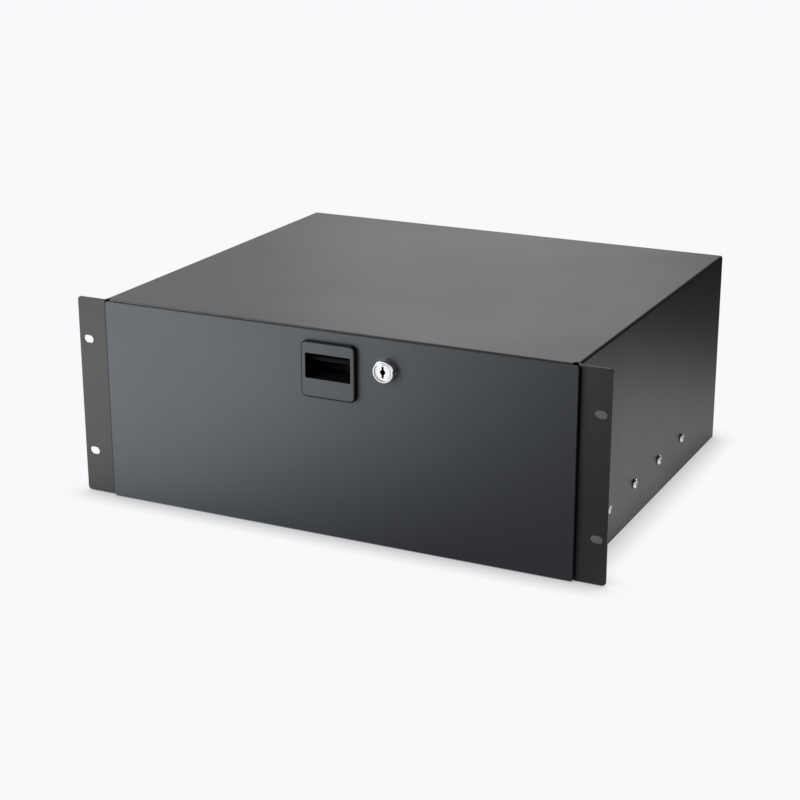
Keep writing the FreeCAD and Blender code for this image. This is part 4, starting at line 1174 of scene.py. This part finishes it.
@dataclass
class PanScrews:
    """A row of pan-head screws with cross recesses, all in one piece.

    The dome is the head's outline, in shares of the head's radius and height.
    """

    name: str
    node: str
    body: str
    places: Sequence[Matrix]
    slot: Slot = Slot.BRIGHT_STEEL
    head: float = 4.0
    height: float = 2.4
    shank: float = 2.0
    length: float = 2.7
    recess: float = 2.1
    blade: float = 0.5
    dome: Sequence[tuple[float, float]] = ((1.0, 0.0), (1.0, 0.45), (0.86, 0.84), (0.5, 1.0))
    rounding: float = 0.28
    recess_corner: float = 0.12

    def screw(self, place: Matrix) -> Form:
        """Turn one screw and press its recess.

        Args:
            place: where its head meets the sheet, with Z out through the head.

        Returns:
            The screw's form.
        """
        dome = [(self.head * across, self.height * up) for across, up in self.dome]
        floor = dome[1][1]
        profile = [(0, -self.length), (self.shank, -self.length), (self.shank, 0), *dome,
                   (0, self.height)]
        screw = Form.turned(profile, Matrix(), self.rounding, 40)
        for wide, deep in ((self.blade, self.recess), (self.recess, self.blade)):
            recess = Form.block((-wide, -deep, floor), (wide, deep, self.height + PAST))
            recess.round(runs_along(Axis.Z), self.recess_corner, 2)
            screw.cut(recess)
        return screw.moved(place)

    def build(self) -> None:
        """Make the row."""
        row = Form()
        for place in self.places:
            row.joined(self.screw(place))
        row.finished(self.name, self.slot, self.body, self.node)


@dataclass
class Fasteners:
    """The screws of the slides, of the latch and of the lock's cam."""

    case_wall: float = Case.half_width
    tray_wall: float = 198.6
    level: float = Case.screw_z
    case_y: tuple[float, ...] = Case.screw_y
    tray_y: tuple[float, ...] = (41.0, 297.0)
    latch_x: tuple[float, ...] = (-12.5, 19.5)
    latch_z: float = 38.0
    latch_seat: float = -1.5
    cam: Point = (Lock.x, Lock.z, 24.2)

    def slide_screws(self, hand: Hand) -> list[PanScrews]:
        """Give one slide's screws, from outside the case and from inside the tray."""
        side, inward = hand.name.lower(), Hand(-hand.value)
        case = [facing(hand, (hand.value * self.case_wall, y, self.level))
                for y in self.case_y]
        tray = [facing(inward, (hand.value * self.tray_wall, y, self.level))
                for y in self.tray_y]
        return [PanScrews(f"rail_screw_row_{side}", f"rail_screws_{side}", "case", case),
                PanScrews(f"tray_screw_row_{side}", f"tray_screws_{side}", "drawer", tray)]

    def front_screws(self) -> list[PanScrews]:
        """Give the screws that hold the latch's housing and the cam."""
        latch = [facing_rear(x, self.latch_z, self.latch_seat) for x in self.latch_x]
        return [PanScrews("latch_screw_pair", "latch_screws", "drawer", latch, Slot.ZINC,
                          head=2.8, height=1.8, shank=1.45, length=5.0, recess=1.6),
                PanScrews("cam_holding_screw", "cam_screw", "lock_plug",
                          [facing_rear(*self.cam)], Slot.ZINC,
                          head=5.0, height=2.0, shank=1.5, length=5.5, recess=2.6)]

    def build(self) -> None:
        """Make every row of screws."""
        rows = [row for hand in Hand for row in self.slide_screws(hand)]
        for row in (*rows, *self.front_screws()):
            row.build()


# ---------------------------------------------------------------- slide balls


@dataclass
class SlideBalls:
    """The balls of one cage, two to each of its two rows."""

    node: str
    radius: float = 1.5

    def build(self) -> None:
        """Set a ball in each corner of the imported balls' box."""
        low, high = (Vector(corner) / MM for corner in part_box(self.node))
        inset = (high.x - low.x) / 2
        balls = Form()
        for y in (low.y + inset, high.y - inset):
            for z in (low.z + inset, high.z - inset):
                bmesh.ops.create_icosphere(balls.mesh, subdivisions=3, radius=self.radius,
                                           matrix=Matrix.Translation((low.x + inset, y, z)))
        balls.finished(f"{self.node}_round", Slot.BRIGHT_STEEL,
                       frame["nodes"][self.node]["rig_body"], self.node)


# ---------------------------------------------------------------- latch spring


@dataclass
class LatchSpring:
    """Round wire coil between the channel's floor and the bolt, as long as the bolt leaves it."""

    node: str = "latch_spring"
    wire: float = 0.6
    turns: float = 5.5
    steps_per_turn: int = 28
    channel_floor: float = 48.0
    bolt_foot: float = 59.0

    def build(self) -> None:
        """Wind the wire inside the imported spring's box, and stretch it between its two seats."""
        low, high = (Vector(corner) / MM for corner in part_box(self.node))
        middle, half = (low + high) / 2, self.wire / 2
        steps = round(self.turns * self.steps_per_turn)
        rise = (high.z - low.z - self.wire) / steps
        coil = Form()
        place = (Matrix.Translation(((high.x - low.x) / 2 - half, 0, half))
                 @ Matrix.Rotation(math.pi / 2, 4, "X"))
        bmesh.ops.create_circle(coil.mesh, segments=12, radius=half, matrix=place)
        bmesh.ops.spin(coil.mesh, geom=[*coil.mesh.verts, *coil.mesh.edges], cent=(0, 0, 0),
                       axis=(0, 0, 1), dvec=(0, 0, rise), angle=self.turns * math.tau,
                       steps=steps)
        ends = [edge for edge in coil.mesh.edges if edge.is_boundary]
        bmesh.ops.holes_fill(coil.mesh, edges=ends, sides=0)
        coil.facing_out().moved(Matrix.Translation((middle.x, middle.y, low.z)))
        spring = coil.finished("latch_coil_spring", Slot.BRIGHT_STEEL, "", self.node)
        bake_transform(spring)


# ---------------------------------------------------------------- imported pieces


@dataclass
class PackedPiece:
    """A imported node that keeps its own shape, with its facets merged and its edges broken."""

    node: str
    slot: Slot
    edge: float = 0.12
    smooth_to: float = 32.0
    break_from: float = 50.0
    flat_to: float = 0.5
    weld: float = 0.001

    def build(self) -> None:
        """Copy the node, merge its facets and dress it."""
        source = frame["nodes"][self.node]
        form = Form()
        form.mesh.from_mesh(source.data)
        form.mesh.transform(Matrix.Scale(1 / MM, 4))
        bmesh.ops.remove_doubles(form.mesh, verts=form.mesh.verts, dist=self.weld)
        bmesh.ops.dissolve_limit(form.mesh, angle_limit=math.radians(self.flat_to),
                                 verts=form.mesh.verts, edges=form.mesh.edges)
        piece = form.finished(f"{self.node}_dressed", self.slot, source["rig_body"], self.node,
                              sharp=self.smooth_to, even=False)
        broken = piece.modifiers.new("broken_edges", "BEVEL")
        broken.width = self.edge * MM
        broken.segments = 2
        broken.limit_method = "ANGLE"
        broken.angle_limit = math.radians(self.break_from)
        broken.use_clamp_overlap = True
        broken.harden_normals = True


# ---------------------------------------------------------------- studio


@dataclass
class Lamp:
    """A soft box that looks at the drawer."""

    name: str
    spot: Point
    size: tuple[float, float]
    power: float
    colour: Colour = (1.0, 1.0, 1.0)
    target: Point = (0.0, 0.1, 0.0)
    gloss_only: bool = False

    def build(self) -> bpy.types.Object:
        """Hang the lamp."""
        data = bpy.data.lights.new(self.name, "AREA")
        data.shape, data.size, data.size_y = "RECTANGLE", *self.size
        data.energy, data.color = self.power, self.colour
        lamp = bpy.data.objects.new(self.name, data)
        bpy.context.scene.collection.objects.link(lamp)
        lamp.visible_camera = False
        lamp.visible_diffuse = not self.gloss_only
        lamp.location = self.spot
        way = Vector(self.target) - Vector(self.spot)
        lamp.rotation_euler = way.to_track_quat("-Z", "Y").to_euler()
        return lamp


@dataclass
class FloorCard(Lamp):
    """A white card on the floor, which fades to its right and towards the drawer."""

    shown_on: Sequence[str] = ("front_sheet", "latch_plate")
    fade_x: tuple[float, float] = (-0.35, 0.14)
    fade_y: tuple[float, float] = (-0.5, 0.0)
    near_share: float = 0.32

    def build(self) -> bpy.types.Object:
        """Lay the card, and let only the painted fronts show it."""
        card = super().build()
        card.data.use_nodes = True
        bench = Bench(card.data.node_tree)
        spot = bench.add("ShaderNodeSeparateXYZ",
                         Vector=bench.add("ShaderNodeNewGeometry").outputs["Position"])
        across = bench.spread(spot.outputs["X"], *self.fade_x, 1.0, 0.0, "SMOOTHSTEP")
        along = bench.spread(spot.outputs["Y"], *self.fade_y, 1.0, self.near_share)
        glow = bench.add("ShaderNodeEmission", Color=(*self.colour, 1.0),
                         Strength=bench.math("MULTIPLY", across, along))
        bench.add("ShaderNodeOutputLight", Surface=glow.outputs["Emission"])
        painted = bpy.data.collections.new(f"{self.name}_shown_on")
        for name in self.shown_on:
            painted.objects.link(bpy.data.objects[name])
        card.light_linking.receiver_collection = painted
        return card


@dataclass
class Pool:
    """A round patch of the floor that gloss shows pale."""

    x: float
    y: float
    full: float
    end: float


@dataclass
class Studio:
    """Pale floor and backdrop, soft boxes and the camera."""

    floor_z: float = -0.0885
    floor_size: float = 6.0
    pale: Colour = (0.938, 0.947, 0.965)
    shadow: float = 0.8
    contact: float = 0.028
    contact_samples: int = 8
    bounce: Colour = (0.42, 0.42, 0.42)
    far_floor: Colour = (0.06, 0.06, 0.06)
    floor_reach: tuple[float, float] = (0.5, 1.0)
    pools: Sequence[Pool] = (Pool(-0.42, -0.42, 0.36, 0.5), Pool(0.36, 0.17, 0.15, 0.26),
                             Pool(0.4, 0.3, 0.13, 0.44), Pool(-0.25, 0.85, 0.3, 0.6))
    light_side: float = 0.5
    dark_side: float = 0.06
    flag: tuple[float, float] = (0.25, -0.55)
    ceiling: tuple[float, float] = (0.85, 0.4)
    screen: tuple[float, float] = (0.1, 0.5)
    screen_share: float = 0.8
    azimuth: float = 25.986
    elevation: float = 18.376
    roll: float = -0.063
    distance: float = 1.4479
    target: Point = (0.06453, -0.0015, 0.03852)
    lens: float = 82.25
    sensor: float = 36.0
    clip: tuple[float, float] = (0.05, 50.0)
    lamps: Sequence[Lamp] = field(default_factory=lambda: (
        Lamp("left_soft_box", (-0.7, -0.62, 0.4), (0.5, 0.5), 8.5, target=(-0.2, 0.0, 0.0)),
        Lamp("rear_soft_box", (-0.05, 1.5, 0.0), (0.6, 0.16), 12.0, target=(-0.05, 0.0, 0.0)),
        FloorCard("front_card", (-0.3, -0.42, -0.0882), (0.9, 0.86), 11.3, (0.95, 0.98, 1.0),
                  (-0.3, -0.42, 1.0), gloss_only=True),
        FloorCard("ear_card", (-0.3, -0.42, -0.0884), (0.9, 0.86), 5.0, (1.0, 1.0, 1.0),
                  (-0.3, -0.42, 1.0), gloss_only=True, shown_on=("case_sheet",)),
        Lamp("rear_card", (-0.35, 1.2, 0.61), (0.6, 0.6), 0.92, (1.0, 0.99, 0.97),
             (0.0, 0.1, 0.09), gloss_only=True),
    ))

    def floor(self) -> None:
        """Lay a wide floor that shows pale, with a soft shadow close round what stands on it."""
        data = bpy.data.meshes.new("studio_floor")
        mesh = bmesh.new()
        bmesh.ops.create_grid(mesh, x_segments=1, y_segments=1, size=self.floor_size,
                              matrix=Matrix.Translation((0, 0, self.floor_z)))
        mesh.to_mesh(data)
        mesh.free()
        paper = bpy.data.materials.new("studio_paper")
        paper.use_nodes = True
        bench = Bench(paper.node_tree)
        place = bench.add("ShaderNodeTexCoord").outputs["Object"]
        reach = self.away(bench, place, (0.0, 0.0, self.floor_z))
        near = bench.add("ShaderNodeMix", {"data_type": "RGBA"})
        bench.feed(near.inputs[0], bench.spread(reach, *self.floor_reach, 0.0, 1.0))
        near.inputs[6].default_value = (*self.bounce, 1.0)
        near.inputs[7].default_value = (*self.far_floor, 1.0)
        plain = bench.add("ShaderNodeBsdfDiffuse", Color=near.outputs[2])
        open_sky = bench.add("ShaderNodeAmbientOcclusion", {"samples": self.contact_samples},
                             Distance=self.contact).outputs["AO"]
        shown = bench.add("ShaderNodeEmission", Color=(*self.pale, 1.0),
                          Strength=bench.spread(open_sky, 0.0, 1.0, 1.0 - self.shadow, 1.0))
        pools = [bench.spread(self.away(bench, place, (pool.x, pool.y, self.floor_z)),
                              pool.full, pool.end, 1.0, 0.0) for pool in self.pools]
        pooled = pools[0]
        for pool in pools[1:]:
            pooled = bench.math("MAXIMUM", pooled, pool)
        blend = bench.add("ShaderNodeMixShader", Fac=self.seen(bench, pooled))
        bench.feed(blend.inputs[1], plain.outputs["BSDF"])
        bench.feed(blend.inputs[2], shown.outputs["Emission"])
        bench.add("ShaderNodeOutputMaterial", Surface=blend.outputs["Shader"])
        data.materials.append(paper)
        floor = bpy.data.objects.new("studio_floor", data)
        bpy.context.scene.collection.objects.link(floor)

    def away(self, bench: Bench, place: bpy.types.NodeSocket,
             spot: Point) -> bpy.types.NodeSocket:
        """Give the distance from a spot."""
        gap = bench.add("ShaderNodeVectorMath", {"operation": "DISTANCE"})
        bench.feed(gap.inputs[0], place)
        bench.feed(gap.inputs[1], spot)
        return gap.outputs["Value"]

    def seen(self, bench: Bench, lit: bpy.types.NodeSocket) -> bpy.types.NodeSocket:
        """Give the mask of rays that show the pale background itself.

        Args:
            bench: the bench of the floor or the world.
            lit: the share of it that gloss shows, less where a black flag stands.

        Returns:
            The mask's socket.
        """
        path = bench.add("ShaderNodeLightPath")
        gloss = bench.math("MULTIPLY", path.outputs["Is Glossy Ray"], lit)
        clear = bench.math("MAXIMUM", path.outputs["Is Camera Ray"],
                           path.outputs["Is Transmission Ray"])
        return bench.math("MAXIMUM", clear, gloss)

    def world(self) -> None:
        """Set a light that is strong low on the left and flagged elsewhere, on a pale ground."""
        world = bpy.data.worlds.new("studio_air")
        world.use_nodes = True
        bpy.context.scene.world = world
        bench = Bench(world.node_tree)
        way = bench.add("ShaderNodeSeparateXYZ",
                        Vector=bench.add("ShaderNodeTexCoord").outputs["Generated"])
        lit = bench.math("MULTIPLY", bench.spread(way.outputs["X"], *self.flag, 0.0, 1.0),
                         bench.spread(way.outputs["Z"], *self.ceiling, 0.0, 1.0))
        corner = bench.math("MULTIPLY",
                            bench.spread(way.outputs["X"], *self.screen, 0.0,
                                         self.screen_share),
                            bench.spread(way.outputs["Y"], *(-side for side in self.screen),
                                         0.0, 1.0))
        screen = bench.math("MULTIPLY", corner,
                            bench.spread(way.outputs["Z"], *self.ceiling, 0.0, 1.0))
        light = bench.add("ShaderNodeBackground", Color=(1.0, 1.0, 1.0, 1.0))
        bench.feed(light.inputs["Strength"],
                   bench.spread(lit, 0.0, 1.0, self.dark_side, self.light_side))
        paper = bench.add("ShaderNodeBackground", Color=(*self.pale, 1.0), Strength=1.0)
        blend = bench.add("ShaderNodeMixShader",
                          Fac=self.seen(bench, bench.math("MAXIMUM", lit, screen)))
        bench.feed(blend.inputs[1], light.outputs["Background"])
        bench.feed(blend.inputs[2], paper.outputs["Background"])
        bench.add("ShaderNodeOutputWorld", Surface=blend.outputs["Shader"])

    def camera(self) -> None:
        """Stand the camera in front of the drawer, to its right and a little above."""
        data = bpy.data.cameras.new("studio_camera")
        data.lens, data.sensor_width = self.lens, self.sensor
        data.clip_start, data.clip_end = self.clip
        camera = bpy.data.objects.new("studio_camera", data)
        bpy.context.scene.collection.objects.link(camera)
        across, up = math.radians(self.azimuth), math.radians(self.elevation)
        away = Vector((math.sin(across) * math.cos(up), -math.cos(across) * math.cos(up),
                       math.sin(up)))
        turn = (-away).to_track_quat("-Z", "Y").to_matrix().to_4x4()
        roll = Matrix.Rotation(math.radians(self.roll), 4, "Z")
        place = Matrix.Translation(Vector(self.target) + away * self.distance)
        camera.matrix_world = place @ turn @ roll
        bpy.context.scene.camera = camera

    def build(self) -> None:
        """Set up the whole studio."""
        self.floor()
        self.world()
        for lamp in self.lamps:
            lamp.build()
        self.camera()
        bpy.context.scene.view_settings.view_transform = "Standard"


# ---------------------------------------------------------------- the whole drawer


def packed_pieces() -> list[PackedPiece]:
    """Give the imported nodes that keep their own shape."""
    pieces = [PackedPiece("bottom_pan", Slot.CASE_PAINT, edge=0.2),
              PackedPiece("drawer_tray", Slot.CASE_PAINT, edge=0.2),
              PackedPiece("strike", Slot.ZINC),
              PackedPiece("latch_cover", Slot.ZINC),
              PackedPiece("lock_cam", Slot.ZINC, edge=0.2),
              PackedPiece("lock_nut", Slot.ZINC, edge=0.25),
              PackedPiece("lever_pin", Slot.BRIGHT_STEEL, edge=0.15),
              PackedPiece("panel_bumpers", Slot.RUBBER, edge=0.3)]
    for hand in Hand:
        side = hand.name.lower()
        for member in ("outer_rail", "middle_rail", "inner_rail"):
            pieces.append(PackedPiece(f"{member}_{side}", Slot.ZINC, edge=0.1))
        for cage in ("outer_cage", "inner_cage"):
            pieces.append(PackedPiece(f"{cage}_{side}", Slot.ZINC, edge=0.08))
        pieces.append(PackedPiece(f"rail_buffer_{side}", Slot.RUBBER, edge=0.5))
    return pieces


def main() -> None:
    """Build the drawer's looks and its studio."""
    logging.basicConfig(level=logging.INFO, format="%(message)s")
    balls = [SlideBalls(f"{row}_balls_{hand.name.lower()}") for row in ("outer", "inner")
             for hand in Hand]
    sub_assemblies = [Case(), DrawerFront(), Latch(), LatchSpring(), Lock(), Fasteners(),
                      *balls, *packed_pieces()]
    for sub_assembly in sub_assemblies:
        sub_assembly.build()
    Studio().build()


if __name__ == "__main__":
    main()
